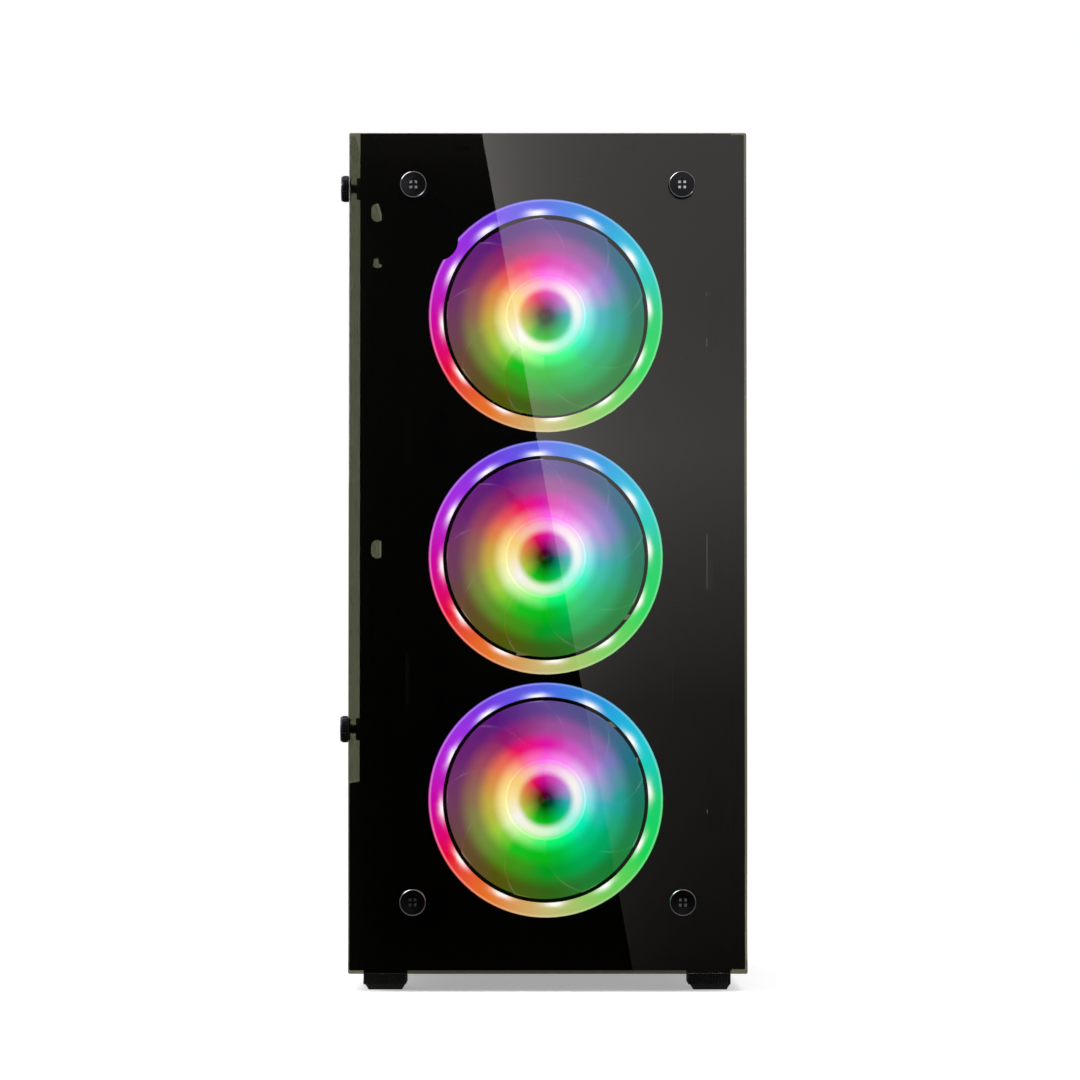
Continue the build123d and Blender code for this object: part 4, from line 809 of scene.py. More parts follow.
# Dark steel strips behind two slots of the front plate's left margin: painted shade, a dark sheet where the
# slots show only shade
slotShade = {"thick": 0.5, "right": -64, "heights": ((294, 320), (174, 199))}
plateLow = corners("front_plate")[0]
fanFront = corners("fan_1_frame")[0].y
bm = startMesh()
for start, end in slotShade["heights"]:
    addBlock(bm, (plateLow.x + 1.4, fanFront + 0.1, start),
        (slotShade["right"], fanFront + slotShade["thick"], end), 0.1)
makePiece("paintedShadeStrips", bm, "case", [steel])

# Main board: panel, sockets, chips, coils and capacitors

boardLow, boardHigh = corners("motherboard")
face = boardHigh.x - 1.6      # the side that carries the parts
coolerMiddle = middle("cooler_heatsink")
board = {
    "memoryPitch": 9.5, "memoryLast": 10, "memoryHalf": 71, "memoryHeight": 333,
    "cardSockets": (236.25, 175.29, 134.65), "cardSocketEnds": (48.5, 138.5),
    "coils": 9, "smallParts": 260, "seed": 11,
}


def addCells(bm, depth, start, across, up, rise=4.3, part=0):  # the open square cells of a power socket
    walls = (((0, 0), (4.1, 0.7)), ((0, 3.3), (4.1, 4.0)), ((0, 0), (0.7, 4.0)), ((3.4, 0), (4.1, 4.0)))
    for number in range(across * up):
        y, z = start[0] + number // up * 4.3, start[1] + number % up * rise
        for low, high in walls:
            addBlock(bm, (depth[0], y + low[0], z + low[1]), (depth[1], y + high[0], z + high[1]), 0, part)


def boardBlock(bm, rise, ys, zs, edge=0.3, part=0, sunk=0.0):  # a block standing on the board
    addBlock(bm, (face - rise, ys[0], zs[0]), (face - sunk, ys[1], zs[1]), edge, part)


bm = startMesh()
addBlock(bm, (face, boardLow.y, boardLow.z), (boardHigh.x, boardHigh.y, boardHigh.z), 0.2)
for low, high in solids("board_standoffs"):  # tinned rings round the fixing holes
    spot = (low + high) / 2
    addRod(bm, Vector((face, spot.y, spot.z)), (-1, 0, 0), 0.12, 4.4, 28, 1)
    for turn in range(8):
        around = Vector((face, spot.y + 3.7 * cos(turn * tau / 8), spot.z + 3.7 * sin(turn * tau / 8)))
        addRod(bm, around, (-1, 0, 0), 0.2, 0.35, 8, 1)
shuffle = random.Random(board["seed"])
for number in range(board["smallParts"]):  # resistors and ceramic capacitors with tinned ends
    y = shuffle.uniform(boardLow.y + 8, boardHigh.y - 30)
    z = shuffle.uniform(boardLow.z + 6, boardHigh.z - 8)
    long, wide = shuffle.choice(((1.6, 0.8), (2.0, 1.25), (1.0, 0.6)))
    if shuffle.random() < 0.5:
        long, wide = wide, long
    boardBlock(bm, 0.6, (y, y + long), (z, z + wide), 0, shuffle.choice((1, 2, 3)))
makePiece("boardPanel", bm, "case", [boardLacquer, tin, chipEpoxy, brass], ["motherboard"])

bm = startMesh()
lowEnd = board["memoryHeight"] - board["memoryHalf"]
highEnd = board["memoryHeight"] + board["memoryHalf"]
for number in range(4):  # memory sockets: two walls, a floor with its contacts, and a latch at each end
    y = board["memoryLast"] + number * board["memoryPitch"]
    part = number % 2
    boardBlock(bm, 2.0, (y - 3, y + 3), (lowEnd, highEnd), 0.2, part)
    for side in (-1, 1):
        walls = sorted((y + side * 1.0, y + side * 3))
        boardBlock(bm, 7, walls, (lowEnd + 3, highEnd - 3), 0.35, part)
    for start, end in ((lowEnd, lowEnd + 5), (highEnd - 5, highEnd)):
        boardBlock(bm, 10, (y - 2.2, y + 2.2), (start, end), 0.6, 2)
    for step in range(48):
        z = lowEnd + 7 + step * 2.7
        boardBlock(bm, 4.2, (y - 1.0, y + 1.0), (z, z + 0.7), 0, 3)
for z in board["cardSockets"]:  # card sockets with a ribbed side and a retaining hook
    start, end = board["cardSocketEnds"]
    for low, high in ((z, z + 2.6), (z + 4.4, z + 7)):
        boardBlock(bm, 11, (start, end), (low, high), 0.3)
    boardBlock(bm, 3, (start, end), (z + 2.6, z + 4.4), 0)
    boardBlock(bm, 11, (start, start + 3), (z, z + 7), 0.3)
    boardBlock(bm, 11, (end - 2, end), (z, z + 7), 0.3)
    boardBlock(bm, 12.5, (start - 6, start - 0.5), (z + 1, z + 6), 0.6, 2)
    for step in range(30):
        y = start + 4 + step * 2.8
        boardBlock(bm, 9, (y, y + 0.8), (z - 0.25, z), 0)
plugHigh = boardHigh.z - 98
plugLow = boardHigh.z - 150
# Main power socket: two columns of twelve cells with their pins, and the processor's socket at the top edge
addCells(bm, (face - 12, face), (boardLow.y + 0.3, plugLow + 0.6), 2, 12, 4.25)
for column in range(2):
    for row in range(12):
        y, z = boardLow.y + 1.9 + column * 4.3, plugLow + 2.2 + row * 4.25
        boardBlock(bm, 8, (y, y + 0.9), (z, z + 0.9), 0, 3)
addCells(bm, (face - 11, face), (boardHigh.y - 61.5, boardHigh.z - 9.6), 4, 2)
for z in (boardLow.z + 60, boardLow.z + 76):  # drive sockets facing forwards
    boardBlock(bm, 9, (boardLow.y, boardLow.y + 12), (z - 7, z + 7), 0.5)
    for rise in (2.2, 6.4):
        boardBlock(bm, rise + 0.9, (boardLow.y - 0.4, boardLow.y + 2), (z - 4.5, z + 4.5), 0, 2, rise)
for row in range(10):  # header pins along the lower edge
    y = boardLow.y + 92 + row * 2.54
    for z in (boardLow.z + 6, boardLow.z + 8.54):
        boardBlock(bm, 2.5, (y - 1.2, y + 1.2), (z - 1.2, z + 1.2), 0.15)
        boardBlock(bm, 8, (y - 0.32, y + 0.32), (z - 0.32, z + 0.32), 0, 3)
makePiece("boardSockets", bm, "case", [socketPlastic, chipEpoxy, paleSocket, gold])

bm = startMesh()
coilY = coolerMiddle.y + 27
for number in range(board["coils"]):  # chokes beside the processor, a can between each two
    z = coolerMiddle.z - 42 + number * 9.6
    boardBlock(bm, 6.5, (coilY, coilY + 7), (z, z + 7.4), 0.7, 2)
    boardBlock(bm, 1.2, (coilY - 0.7, coilY + 7.7), (z + 2.2, z + 5.2), 0, 1)
canSpots = [(coolerMiddle.y - 34, coolerMiddle.z - 40 + number * 10) for number in range(9)]
canSpots += [(boardHigh.y - 36, boardLow.z + 16 + number * 12) for number in range(4)]
canSpots += [(boardLow.y + 30 + number * 11, boardHigh.z - 160) for number in range(5)]
for y, z in canSpots:  # polymer capacitors: a can with a rolled top rim on a square base
    boardBlock(bm, 1.1, (y - 3.6, y + 3.6), (z - 3.6, z + 3.6), 0.5, 2)
    addTurned(bm, Vector((face, y, z)), (-1, 0, 0), [
        (3.1, 1.0), (3.1, 1.8), (2.8, 2.2), (3.1, 2.6), (3.1, 7.4),
        (2.8, 7.8), (2.4, 7.6), (0, 7.6)], 20)
addTurned(bm, Vector((face, 20, boardLow.z + 62)), (-1, 0, 0), [
    (0, 4.4), (9.6, 4.4), (10, 4.0), (10, 1.6)], 40)  # coin cell
addTurned(bm, Vector((face, 20, boardLow.z + 62)), (-1, 0, 0), [
    (10.2, 3.2), (11.6, 3.2), (12, 2.8), (12, 0)], 40, 2)
for y, z, wide, high, rise in (
        (150, 60, 9, 9, 1.2), (120, 30, 7, 7, 1.0), (60, 24, 12, 12, 1.4), (30, 96, 8, 6, 1.6),
        (105, 96, 8, 6, 1.6), (-30, 150, 7, 7, 1.0), (-10, 262, 9, 9, 1.2), (170, 40, 5, 4, 1.2)):
    low = (y, boardLow.z + z)
    boardBlock(bm, rise, (low[0], low[0] + wide), (low[1], low[1] + high), 0.15, 2)
    for step in range(int(wide / 1.3)):
        pin = low[0] + 0.7 + step * 1.3
        boardBlock(bm, 0.4, (pin, pin + 0.5), (low[1] - 0.9, low[1] + high + 0.9), 0, 1)
cpuY, cpuZ = coolerMiddle.y, coolerMiddle.z
boardBlock(bm, 4.6, (cpuY - 24, cpuY + 24), (cpuZ - 26, cpuZ + 26), 0.5, 2)
for side in (-1, 1):  # the retaining frame and lever round the processor
    rail = sorted((cpuY + side * 21, cpuY + side * 25))
    boardBlock(bm, 5.6, rail, (cpuZ - 27, cpuZ + 27), 0.4, 1)
    rail = sorted((cpuZ + side * 23, cpuZ + side * 27))
    boardBlock(bm, 5.6, (cpuY - 25, cpuY + 25), rail, 0.4, 1)
addRod(bm, Vector((face - 6.6, cpuY - 27, cpuZ - 26)), (0, 0, 1), 50, 0.9, 12, 1)
for y, z, long in ((52, 92, 80), (52, 50, 80)):  # solid-state drive sticks with their chips and end screws
    low = boardLow.z + z
    boardBlock(bm, 3.4, (y, y + long), (low, low + 22), 0.2, 3, 2.6)
    for start in (14, 32, 50):
        boardBlock(bm, 4.4, (y + start, y + start + 13), (low + 3, low + 19), 0.2, 2, 3.2)
    boardBlock(bm, 4.2, (y - 4, y + 2), (low - 0.5, low + 22.5), 0.3, 2)
    addRod(bm, Vector((face, y + long - 1, low + 11)), (-1, 0, 0), 4.4, 2.6, 20, 1)
makePiece("boardParts", bm, "case", [pipeNickel, tin, chipEpoxy, boardLacquer])
print("main board built")

# Memory sticks: lacquered board with gold contacts between two folded spreaders

bm = startMesh()
for low, high in solids("memory_modules"):
    y = (low.y + high.y) / 2
    addBlock(bm, (low.x + 3, y - 0.6, low.z + 1), (high.x, y + 0.6, high.z - 1), 0.1, 1)
    for step in range(56):
        z = low.z + 4 + step * 2.25
        addBlock(bm, (high.x - 5, y - 0.75, z), (high.x - 0.8, y + 0.75, z + 1.4), 0, 2)
    for side in (-1, 1):
        outer = sorted((y + side * 0.9, y + side * 3.0))
        addBlock(bm, (low.x + 3.4, outer[0], low.z), (high.x - 7.6, outer[1], high.z), 0.5)
        for band in range(3):  # raised slanted panels along the spreader
            start = low.z + 10 + band * 40
            skin = sorted((y + side * 3.0, y + side * 3.4))
            addBlock(bm, (low.x + 9, skin[0], start), (high.x - 12, skin[1], start + 32), 0.25)
    for step in range(22):  # comb of fins along the free edge
        z = low.z + 2 + step * 5.9
        addBlock(bm, (low.x, y - 2.6, z), (low.x + 4.2, y + 2.6, z + 3.6), 0.4)
makePiece("memorySticks", bm, "case",
    [darkAnodised, boardLacquer, gold], ["memory_modules"])

# Heat sinks of the board

bm = startMesh()
for low, high in solids("board_heatsinks"):
    tall = high.z - low.z > high.y - low.y
    rise = high.x - low.x
    if tall:
        addBlock(bm, (high.x - 7, low.y, low.z), high, 0.5)
        count = 15
        for number in range(count):
            z = low.z + number * (high.z - low.z - 3) / (count - 1)
            depth = rise - (3 if number % 3 == 1 else 0)
            addBlock(bm, (high.x - depth, low.y + 0.8, z), (high.x - 6.8, high.y, z + 3), 0.5)
    else:
        addBlock(bm, (high.x - 4.5, low.y, low.z), high, 0.8)
        for number in range(8):
            y = low.y + 2 + number * 7.5
            addBlock(bm, (low.x, y, low.z + 2), (high.x - 4.3, y + 5.4, high.z - 2 - number % 2 * 8),
                     0.6)
makePiece("boardSinks", bm, "case", [darkAnodised], ["board_heatsinks"])

# Processor cooler: a stack of thin fins pressed on four bent pipes

cooler = {"fins": 42, "thick": 0.45, "pipe": 3, "pipeGap": 9, "spread": 38, "base": 20}


def tubeMesh(points, radius, steps=16, order=3):  # a round tube along a smooth spline, as a mesh
    curve = bpy.data.curves.new("route", "CURVE")
    curve.dimensions = "3D"
    curve.bevel_depth = radius
    curve.bevel_resolution = steps // 4
    curve.use_fill_caps = True
    spline = curve.splines.new("NURBS")
    spline.points.add(len(points) - 1)
    for point, place in zip(spline.points, points):
        point.co = (*place, 1)
    spline.order_u = order
    spline.use_endpoint_u = True
    spline.resolution_u = 10
    holder = bpy.data.objects.new("route", curve)
    mesh = bpy.data.meshes.new_from_object(holder)
    bpy.data.objects.remove(holder)
    bpy.data.curves.remove(curve)
    return mesh


def addTube(bm, points, radius, part=0, order=3):
    before = set(bm.faces)
    mesh = tubeMesh(points, radius, order=order)
    bm.from_mesh(mesh)
    bpy.data.meshes.remove(mesh)
    for item in bm.faces:
        if item not in before:
            item.material_index = part


finLow, finHigh = corners("cooler_heatsink")
bm = startMesh()
for number in range(cooler["fins"]):
    x = finLow.x + 2 + number * (finHigh.x - 27 - finLow.x) / cooler["fins"]
    addBlock(bm, (x, finLow.y, finLow.z), (x + cooler["thick"], finHigh.y, finHigh.z))
    for z in (finLow.z, finHigh.z - 0.5):  # folded tabs that space the fins
        for y in (finLow.y + 6, finHigh.y - 16):
            addBlock(bm, (x, y, z), (x + 2.4, y + 10, z + 0.5))
for number in range(4):
    y = coolerMiddle.y + (number - 1.5) * cooler["pipeGap"]
    for side in (-1, 1):
        z = coolerMiddle.z + side * cooler["spread"]
        turn = face - 11
        addTube(bm, [(finLow.x + 1.5, y, z), (finLow.x + 20, y, z), (turn - 26, y, z), (turn - 8, y, z),
                     (turn, y, z - side * 4), (turn, y, z - side * 18), (turn, y, coolerMiddle.z)],
                cooler["pipe"], 1)
        addTurned(bm, Vector((finLow.x + 1.5, y, z)), (-1, 0, 0), [
            (3, 0), (2.6, 0.9), (1.4, 1.4), (0, 1.5)], 16, 1)
half = cooler["base"]
addBlock(bm, (face - 19, cpuY - half, cpuZ - half), (face - 5, cpuY + half, cpuZ + half), 0.8, 1)
addBlock(bm, (finHigh.x - 25.4, finLow.y, finLow.z), (finHigh.x - 24.6, finHigh.y, finHigh.z), 0.2)
makePiece("coolerStack", bm, "case", [finAluminium, pipeNickel], ["cooler_heatsink"])
print("memory, sinks and cooler built")

# Graphics card

cardLow, cardHigh = corners("graphics_card_board")
shroudLow, shroudHigh = corners("graphics_card_shroud")
cardTop = shroudHigh.z          # underside of the card's circuit board
bm = startMesh()
addBlock(bm, (shroudLow.x - 0.6, shroudLow.y, cardTop), (shroudHigh.x, shroudHigh.y + 18, cardTop + 1.6), 0.2)
tongue = (52.5, 134.5)
addBlock(bm, (shroudHigh.x, tongue[0], cardTop), (cardHigh.x, tongue[1], cardTop + 1.6), 0.1)
for step in range(38):
    y = tongue[0] + 2 + step * 2.08
    for z in (cardTop - 0.08, cardTop + 1.4):
        addBlock(bm, (cardHigh.x - 6, y, z), (cardHigh.x - 0.6, y + 1.3, z + 0.28), 0, 1)
plate = cardTop + 1.7      # backing plate with pressed ribs and screws
addBlock(bm, (shroudLow.x, shroudLow.y + 1, plate), (shroudHigh.x - 4, shroudHigh.y, plate + 1.2), 0.4, 2)
for number in range(7):
    y = shroudLow.y + 16 + number * 26
    addBlock(bm, (shroudLow.x + 10, y, plate + 1), (shroudHigh.x - 16, y + 4, plate + 1.7), 0.3, 2)
for x in (shroudLow.x + 5, shroudHigh.x - 10):
    for y in (shroudLow.y + 6, shroudLow.y + 104, shroudHigh.y - 6):
        addTurned(bm, Vector((x, y, plate + 1.2)), (0, 0, 1), [(0, 0.2), (1.0, 0.2), (1.2, 0.7),
                                                                  (1.9, 0.6), (2.1, 0)], 18, 3)
bracket = cardHigh.y - 3
addBlock(bm, (cardLow.x, bracket, cardLow.z), (face - 4, bracket + 0.9, cardHigh.z), 0.15, 4)
for number in range(9):  # louvres of the bracket
    x = cardLow.x + 12 + number * 3.6
    addBlock(bm, (x, bracket - 0.5, cardLow.z + 4), (x + 1.6, bracket + 1.3, cardLow.z + 16), 0.2, 5)
for offset in (28, 50, 72):  # picture sockets: a steel shell, a hollow mouth and its tongue
    x = face - offset
    lowZ = cardTop - 5.7
    back = cardHigh.y - 20
    mouth = cardHigh.y
    for low, high in (((x - 9, back, lowZ), (x + 9, mouth, lowZ + 0.7)),
                      ((x - 9, back, lowZ + 4.9), (x + 9, mouth, lowZ + 5.6)),
                      ((x - 9, back, lowZ), (x - 8.2, mouth, lowZ + 5.6)),
                      ((x + 8.2, back, lowZ), (x + 9, mouth, lowZ + 5.6)),
                      ((x - 9, back, lowZ), (x + 9, back + 4, lowZ + 5.6))):
        addBlock(bm, low, high, 0.1, 4)
    addBlock(bm, (x - 6.6, back + 4, lowZ + 2.4), (x + 6.6, mouth - 1.5, lowZ + 3.5), 0.1, 5)
plug = -18                 # power socket on the card's long edge
addCells(bm, (shroudLow.x - 1, shroudLow.x + 9), (plug - 8.6, cardTop - 9.6), 4, 2, part=5)
makePiece("graphicsBoard", bm, "case",
          [boardLacquer, gold, darkAnodised, blackOxide, portSteel, socketPlastic], ["graphics_card_board"])

# The shroud keeps its moulded body; stepped panels and louvres stand on its long side
bm = startMesh()
sideX = shroudLow.x + 0.5
for number, (start, end) in enumerate(((20, 62), (68, 112), (118, 160), (166, 208))):
    low = (sideX - 0.9, shroudLow.y + start, shroudLow.z + 7)
    high = (sideX + 0.4, shroudLow.y + end, cardTop - 6)
    addBlock(bm, low, high, 0.5, number % 2)
    for step in range(6):
        y = shroudLow.y + (start + 5 + step * 5.6)
        addBlock(bm, (sideX - 1.4, y, shroudLow.z + 11), (sideX - 0.6, y + 2.4, cardTop - 10),
            0.3, 1 - number % 2)
addBlock(bm, (sideX - 1.2, shroudLow.y + 16, shroudLow.z + 2.5),
    (sideX + 0.4, shroudHigh.y - 4, shroudLow.z + 4.5), 0.4, 2)
makePiece("graphicsTrim", bm, "case", [darkAnodised, blackPlastic, bareSteel])

bm = startMesh()
sinkLow, sinkHigh = corners("graphics_card_heatsink")
addBlock(bm, (sinkLow.x, sinkLow.y, sinkHigh.z - 3.2), sinkHigh, 0.3)
for number in range(64):
    y = sinkLow.y + 2 + number * (sinkHigh.y - sinkLow.y - 4) / 64
    addBlock(bm, (sinkLow.x, y, sinkLow.z), (sinkHigh.x, y + 0.45, sinkHigh.z - 3))
for x in (sinkLow.x + 16, sinkLow.x + 34, sinkLow.x + 52):
    addRod(bm, Vector((x, sinkLow.y + 1, sinkHigh.z - 9)), (0, 1, 0), sinkHigh.y - sinkLow.y - 2, 2.6, 16, 1)
makePiece("graphicsSink", bm, "case", [finAluminium, pipeNickel], ["graphics_card_heatsink"])
print("graphics card built")

# Rear sockets: their inner plastics, pins and coloured rings stand in the steel shells

portsLow, portsHigh = corners("rear_io_ports")
ports = {"heights": (14, 16, 16, 16, 16, 22, 22), "gap": 3, "first": 4.75}
rearFace = portsHigh.y
bm = startMesh()
for number, height in enumerate(ports["heights"]):
    low = portsLow.z + (ports["first"] + sum(ports["heights"][:number]) + number * ports["gap"])
    if height == 16 and number % 2:
        for shelf in (9, 17, 25):  # stacked data sockets: a tongue with four contacts in each
            x = face - shelf
            addBlock(bm, (x - 1.1, rearFace - 13, low + 1.8), (x + 1.1, rearFace - 1.4, low + 14.2), 0.2, 1)
            for step in range(4):
                z = low + 3.2 + step * 2.8
                addBlock(bm, (x - 1.25, rearFace - 10, z), (x - 1.0, rearFace - 2, z + 1.1), 0, 2)
        addBlock(bm, (face - 29.6, rearFace - 0.2, low - 0.3), (face - 0.6, rearFace + 0.2, low + 0.5),
            0.1, 3)
    elif height == 22:
        for row, z in enumerate((low + 5.5, low + 16.5)):  # sound sockets with coloured rings
            for column, x in enumerate((face - 8, face - 22)):
                ring = [(1.85, -10), (1.85, 0.4), (2.5, 0.8), (3.7, 0.8),
                        (4.2, 0.4), (4.2, -0.4)]
                addTurned(bm, Vector((x, rearFace, z)), (0, 1, 0), ring, 28, 4 + (row + column * 2) % 4)
                addTurned(bm, Vector((x, rearFace - 2, z)), (0, 1, 0),
                    [(1.86, 0), (1.5, 0.3), (1.5, 1), (1.86, 1.3)], 20, 2)
    elif number == 2:
        for step in range(8):  # network socket: eight sprung contacts and two lamps
            z = low + 4.0 + step * 1.05
            addBlock(bm, (face - 25, rearFace - 10, z), (face - 22.8, rearFace - 4, z + 0.5), 0, 2)
        for z in (low + 0.8, low + 13.2):
            addBlock(bm, (face - 13.4, rearFace - 0.6, z), (face - 9.6, rearFace + 0.2, z + 2), 0.2, 4)
    else:
        shell = (face - (30 if number else 14) + 1.4, face - 1.4)
        addBlock(bm, (shell[0], rearFace - 0.3, low + 1.5),
            (shell[1], rearFace + 0.25, low + (height - 1.5)), 0.5, 1)
        for row in range(3):
            for step in range(5 if number else 2):
                pin = Vector((shell[0] + (3 + step * 5), rearFace + 0.1, low + (4 + row * 3.6)))
                addTurned(bm, pin, (0, 1, 0), [(0, 0.1), (0.5, 0.1), (0.7, 0.3), (1.1, 0.3), (1.1, 0)], 12, 2)
makePiece("rearSocketParts", bm, "case",
    [blackPlastic, socketPlastic, gold, portSteel, *jackPlastics])

# Mains inlet pins, switch marks and supply fan grille rings

inletHigh = corners("psu_inlet")[1]
inlet = middle("psu_inlet")
bm = startMesh()
for x, z in ((-7, -2), (0, 2), (7, -2)):
    spot = Vector((inlet.x + x, 0, inlet.z + z))
    addBlock(bm, (spot.x - 1.1, inletHigh.y - 16.4, spot.z - 2.1),
        (spot.x + 1.1, inletHigh.y - 5.2, spot.z + 2.1), 0.4)
makePiece("inletPins", bm, "case", [pipeNickel])
bm = startMesh()
for low, high in (((-13.9, -10.4), (13.9, -9.2)), ((-13.9, 9.2), (13.9, 10.4)),
    ((-13.9, -10.4), (-12.9, 10.4)), ((12.9, -10.4), (13.9, 10.4))):
    addBlock(bm, (inlet.x + low[0], inletHigh.y - 0.3, inlet.z + low[1]),
        (inlet.x + high[0], inletHigh.y + 0.5, inlet.z + high[1]), 0.3)
makePiece("inletFrame", bm, "case", [blackPlastic])
switchHigh = corners("psu_switch")[1]
switchMiddle = middle("psu_switch")
bm = startMesh()
for z, wide in ((-4.6, 0.5), (4.6, 2.1)):  # a bar for on and a ring for off, pressed into the rocker
    spot = Vector((switchMiddle.x, switchHigh.y - 1.9, switchMiddle.z + z))
    if z < 0:
        addTurned(bm, spot - Vector((0, 0.2, 0)), (0, 1, 0), [(1.3, 0), (1.3, 0.9), (1.8, 0.9), (1.8, 0)], 24)
    else:
        addBlock(bm, (spot.x - 0.25, spot.y + 0.2, spot.z - 1.6),
            (spot.x + 0.25, spot.y + 1.6, spot.z + 1.2), 0.1)
makePiece("rockerMarks", bm, "supply_rocker", [paleSocket])
supply = middle("psu_impeller")
supplyLow = corners("psu_housing")[0]
bm = startMesh()
for radius in (14, 22, 30, 38, 46, 53):  # wire rings of the fan guard
    wire, level = 0.8, supplyLow.z - supply.z
    around = ((-1, 0), (0, -1), (1, 0), (0, 1), (-1, 0))
    loop = [(radius + step[0] * wire, level + step[1] * wire) for step in around]
    addTurned(bm, supply, (0, 0, 1), loop, 72)
makePiece("supplyGuard", bm, "case", [blackOxide])
print("rear sockets and supply parts built")

# Hard drive: cast body with a pressed lid, screws and its board below

driveLow, driveHigh = corners("hard_drive")
bm = startMesh()
body = (driveLow + Vector((0, 0, 1)), Vector((driveHigh.x, driveHigh.y, driveHigh.z - 3.4)))
addBlock(bm, body[0], (driveHigh.x - 1.0, driveHigh.y, body[1].z), 1.6)
addBlock(bm, (driveLow.x + 3, driveLow.y + 3, body[1].z),
    (driveHigh.x - 4, driveHigh.y - 3, driveHigh.z - 1.6), 1.2, 1)
addBlock(bm, (driveLow.x + 12, driveLow.y + 12, driveHigh.z - 1.6),
    (driveHigh.x - 42, driveHigh.y - 12, driveHigh.z - 0.9), 0.6, 1)
addTurned(bm, Vector((driveLow.x + 52, (driveLow.y + driveHigh.y) / 2, driveHigh.z - 0.9)), (0, 0, 1), [
    (0, 0.7), (12, 0.7), (13, 0.4), (27, 0.4), (28, 0)], 64, 1)
for x in (driveLow.x + 7, (driveLow.x + driveHigh.x) / 2, driveHigh.x - 8):
    for y in (driveLow.y + 7, driveHigh.y - 7):
        addTurned(bm, Vector((x, y, driveHigh.z - 1.6)), (0, 0, 1),
            [(0, 0.3), (1.1, 0.3), (1.3, 0.9), (2.3, 0.8), (2.5, 0)], 18, 2)
addBlock(bm, (driveHigh.x - 8, driveLow.y + 15, driveLow.z + 0.2),
    (driveHigh.x, driveLow.y + 55, driveLow.z + 6), 0.3, 3)
for step in range(15):
    y = driveLow.y + 17 + step * 2.5
    addBlock(bm, (driveHigh.x - 3, y, driveLow.z + 2.4), (driveHigh.x + 0.2, y + 1.2, driveLow.z + 2.9), 0, 4)
makePiece("hardDrive", bm, "case",
    [castLid, bareSteel, blackOxide, socketPlastic, gold], ["hard_drive"])

# Dust screens: a rounded frame with woven strands

filterMesh = {"pitch": 2.2, "strand": 0.55, "border": 7}


def addScreen(bm, low, high, top, border):
    # Rounded frame bars, and two layers of strands that pass over and under each other
    bars = (((low.x, low.y), (high.x, low.y + border)), ((low.x, high.y - border), (high.x, high.y)),
            ((low.x, low.y), (low.x + border, high.y)), ((high.x - border, low.y), (high.x, high.y)))
    for start, end in bars:
        addBlock(bm, (*start, low.z), (*end, top), 0.4)
    across = int((high.x - low.x - 2 * border) / filterMesh["pitch"])
    along = int((high.y - low.y - 2 * border) / filterMesh["pitch"])
    height, half = (low.z + top) / 2, filterMesh["strand"] / 2
    for number in range(1, across + 1):
        x = low.x + border + number * (high.x - low.x - 2 * border) / (across + 1)
        addBlock(bm, (x - half, low.y + border, height), (x + half, high.y - border, height + half), 0, 1)
    for number in range(1, along + 1):
        y = low.y + border + number * (high.y - low.y - 2 * border) / (along + 1)
        addBlock(bm, (low.x + border, y - half, height - half), (high.x - border, y + half, height), 0, 1)


bm = startMesh()
topLow, topHigh = corners("top_dust_filter")
addScreen(bm, topLow, topHigh, topHigh.z, filterMesh["border"])
for y in ((topLow.y + topHigh.y) / 2 - 53, (topLow.y + topHigh.y) / 2 + 53):  # stiffening bars
    addBlock(bm, (topLow.x, y - 2, topLow.z + 0.1), (topHigh.x, y + 2, topHigh.z - 0.1), 0.4)
makePiece("topScreen", bm, "top_filter", [blackPlastic, screen], ["top_dust_filter"])
bm = startMesh()
underLow, underHigh = corners("psu_dust_filter")
screenLow = Vector((underLow.x, underLow.y, underHigh.z - 2.6))
addScreen(bm, screenLow, Vector((underHigh.x, underHigh.y, underHigh.z)), underHigh.z, filterMesh["border"])
addBlock(bm, (supply.x - 15, underHigh.y - 4, underLow.z), (supply.x + 15, underHigh.y, underHigh.z), 0.6)
for number in range(7):  # finger grooves on the pull
    x = supply.x + (number - 3) * 4
    addBlock(bm, (x - 0.7, underHigh.y - 0.3, underLow.z + 0.6),
        (x + 0.7, underHigh.y + 0.4, underHigh.z - 0.6), 0.25)
makePiece("underScreen", bm, "bottom_filter", [blackPlastic, screen], ["psu_dust_filter"])
print("drive and dust screens built")

# Control strip: rings round the keys, tongues and contacts of the sockets

bm = startMesh()
stripHigh = corners("io_bezel")[1].z
for name in ("power_button", "reset_button"):
    low, high = corners(name)
    radius = (high.x - low.x) / 2
    spot = Vector(((low.x + high.x) / 2, (low.y + high.y) / 2, stripHigh))
    addTurned(bm, spot, (0, 0, 1), [(radius + 0.45, -1.4), (radius + 0.45, 0.05), (radius + 0.8, 0.18),
                                    (radius + 1.3, 0.12), (radius + 1.5, -0.2)], 64)
makePiece("keyRings", bm, "case", [brightNickelAndGlints])
bm = startMesh()
for low, high in solids("front_usb_ports"):
    spot = (low + high) / 2
    addBlock(bm, (spot.x - 5.7, spot.y + 0.3, high.z - 14), (spot.x + 5.7, spot.y + 2.3, high.z - 1.4), 0.2)
    for step in range(4):
        x = spot.x + (step - 1.5) * 2.6
        addBlock(bm, (x - 0.6, spot.y + 0.1, high.z - 9), (x + 0.6, spot.y + 0.4, high.z - 2.2), 0, 1)
for low, high in solids("front_audio_jacks"):
    spot = Vector(((low.x + high.x) / 2, (low.y + high.y) / 2, high.z))
    addTurned(bm, spot, (0, 0, 1), [(1.75, -6), (1.75, 0), (2.2, 0.25), (2.9, 0.15), (3.1, -0.3)], 32, 1)
makePiece("stripContacts", bm, "case", [socketPlastic, gold])
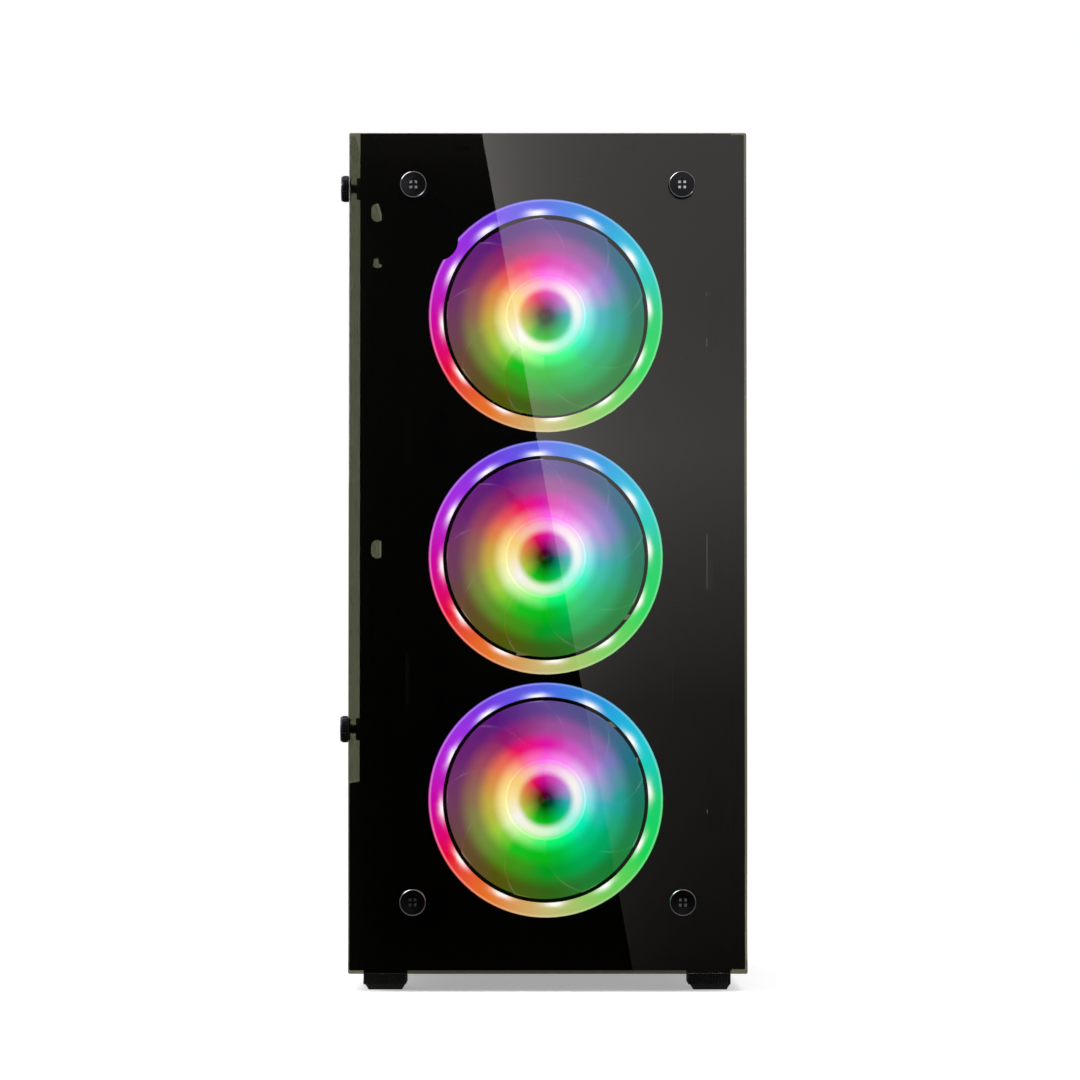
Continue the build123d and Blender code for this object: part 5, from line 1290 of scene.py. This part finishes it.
# Keys: a dished cap with a rounded rim on its stem; the power key carries a small ring and bar
keys = (("powerKey", "power_button", "power_key"), ("resetKey", "reset_button", "reset_key"))
for name, node, body in keys:
    bm = startMesh()
    low, high = corners(node)
    radius = (high.x - low.x) / 2
    spot = Vector(((low.x + high.x) / 2, (low.y + high.y) / 2, high.z))
    addTurned(bm, spot, (0, 0, 1), [
        (0, -0.35), (radius * 0.7, -0.3), (radius - 0.9, -0.05), (radius - 0.5, 0),
        (radius - 0.15, -0.12), (radius, -0.45), (radius, -5), (0, -5)], 56)
    addRod(bm, spot - Vector((0, 0, 5)), (0, 0, -1), spot.z - 5 - low.z, 1.8, 24)
    if node == "power_button":
        mark = spot - Vector((0, 0, 0.5))
        addTurned(bm, mark, (0, 0, 1), [(2.2, 0), (2.2, 0.2), (2.9, 0.2), (2.9, 0)], 40, 1)
        addBlock(bm, mark + Vector((-0.4, 0.6, -0.1)), mark + Vector((0.4, 4.0, 0.25)), 0.1, 1)
    makePiece(name, bm, body, [blackPlastic, brightNickelAndGlints], [node])
print("control strip built")

# Power cables: braided sleeves along their routes, with heat-shrunk cuffs and moulded plugs

cables = {
    "radius": 3, "cuff": 12,
    "toBoard": [
        (51.4, 51.6, 62), (53.4, 20, 63), (80.4, -14, 74), (88.4, -52, 110), (88.4, -81.5, 160),
        (88.4, -87.5, 231), (88.4, -87.5, 289), (30.3, -87.5, 289), (30.3, -49, 289), (60.3, -49, 289)],
    "toCard": [
        (-53.7, 51.6, 62), (-55.7, 18, 64), (-69.7, -15, 100), (-73.7, -18, 162), (-72.7, -18, 234.25),
        (-40.7, -18, 234.25)],
}
bm = startMesh()
for key in ("toBoard", "toCard"):
    route = [Vector(point) for point in cables[key]]
    addTube(bm, route, cables["radius"], 0, 3)
    for end, near in ((route[0], route[1]), (route[-1], route[-2])):  # cuffs at both ends
        addRod(bm, end, near - end, cables["cuff"], cables["radius"] + 0.5, 24, 1, cables["radius"] + 0.2)
end = route[-1]
addBlock(bm, end + Vector((-7, -9.2, -4.8)), end + Vector((1.4, 9.2, 4.8)), 0.5, 2)
addBlock(bm, end + Vector((-4, -2.4, 4.8)), end + Vector((3.4, 2.4, 6.2)), 0.4, 2)
for row in range(4):
    for column in range(2):
        y, z = end.y + (row - 1.5) * 4.3, end.z + (column - 0.5) * 4.3
        addRod(bm, Vector((end.x - 6, y, z)), (-1, 0, 0), 3.2, 1.3, 12, 1, 0.9)
end = Vector(cables["toBoard"][-1])
addBlock(bm, Vector((end.x - 11, boardLow.y - 0.2, plugLow + 0.4)),
    Vector((end.x + 0.4, boardLow.y + 9, plugHigh - 0.4)), 0.6, 2)
addBlock(bm, Vector((end.x - 9, boardLow.y + 9, end.z - 4)),
    Vector((end.x + 3, boardLow.y + 10.6, end.z + 4)), 0.4, 2)
makePiece("powerCables", bm, "case", [sleeve, rubber, socketPlastic], ["power_cables"])
print("cables built")

dress(portSteel, "rear_io_ports", "front_usb_ports", "front_audio_jacks")
dress(blackPlastic, "io_bezel", "fan_motors", "psu_inlet", "psu_switch", "graphics_card_shroud")
dress(boardLacquer, "io_board")
dress(brass, "board_standoffs")
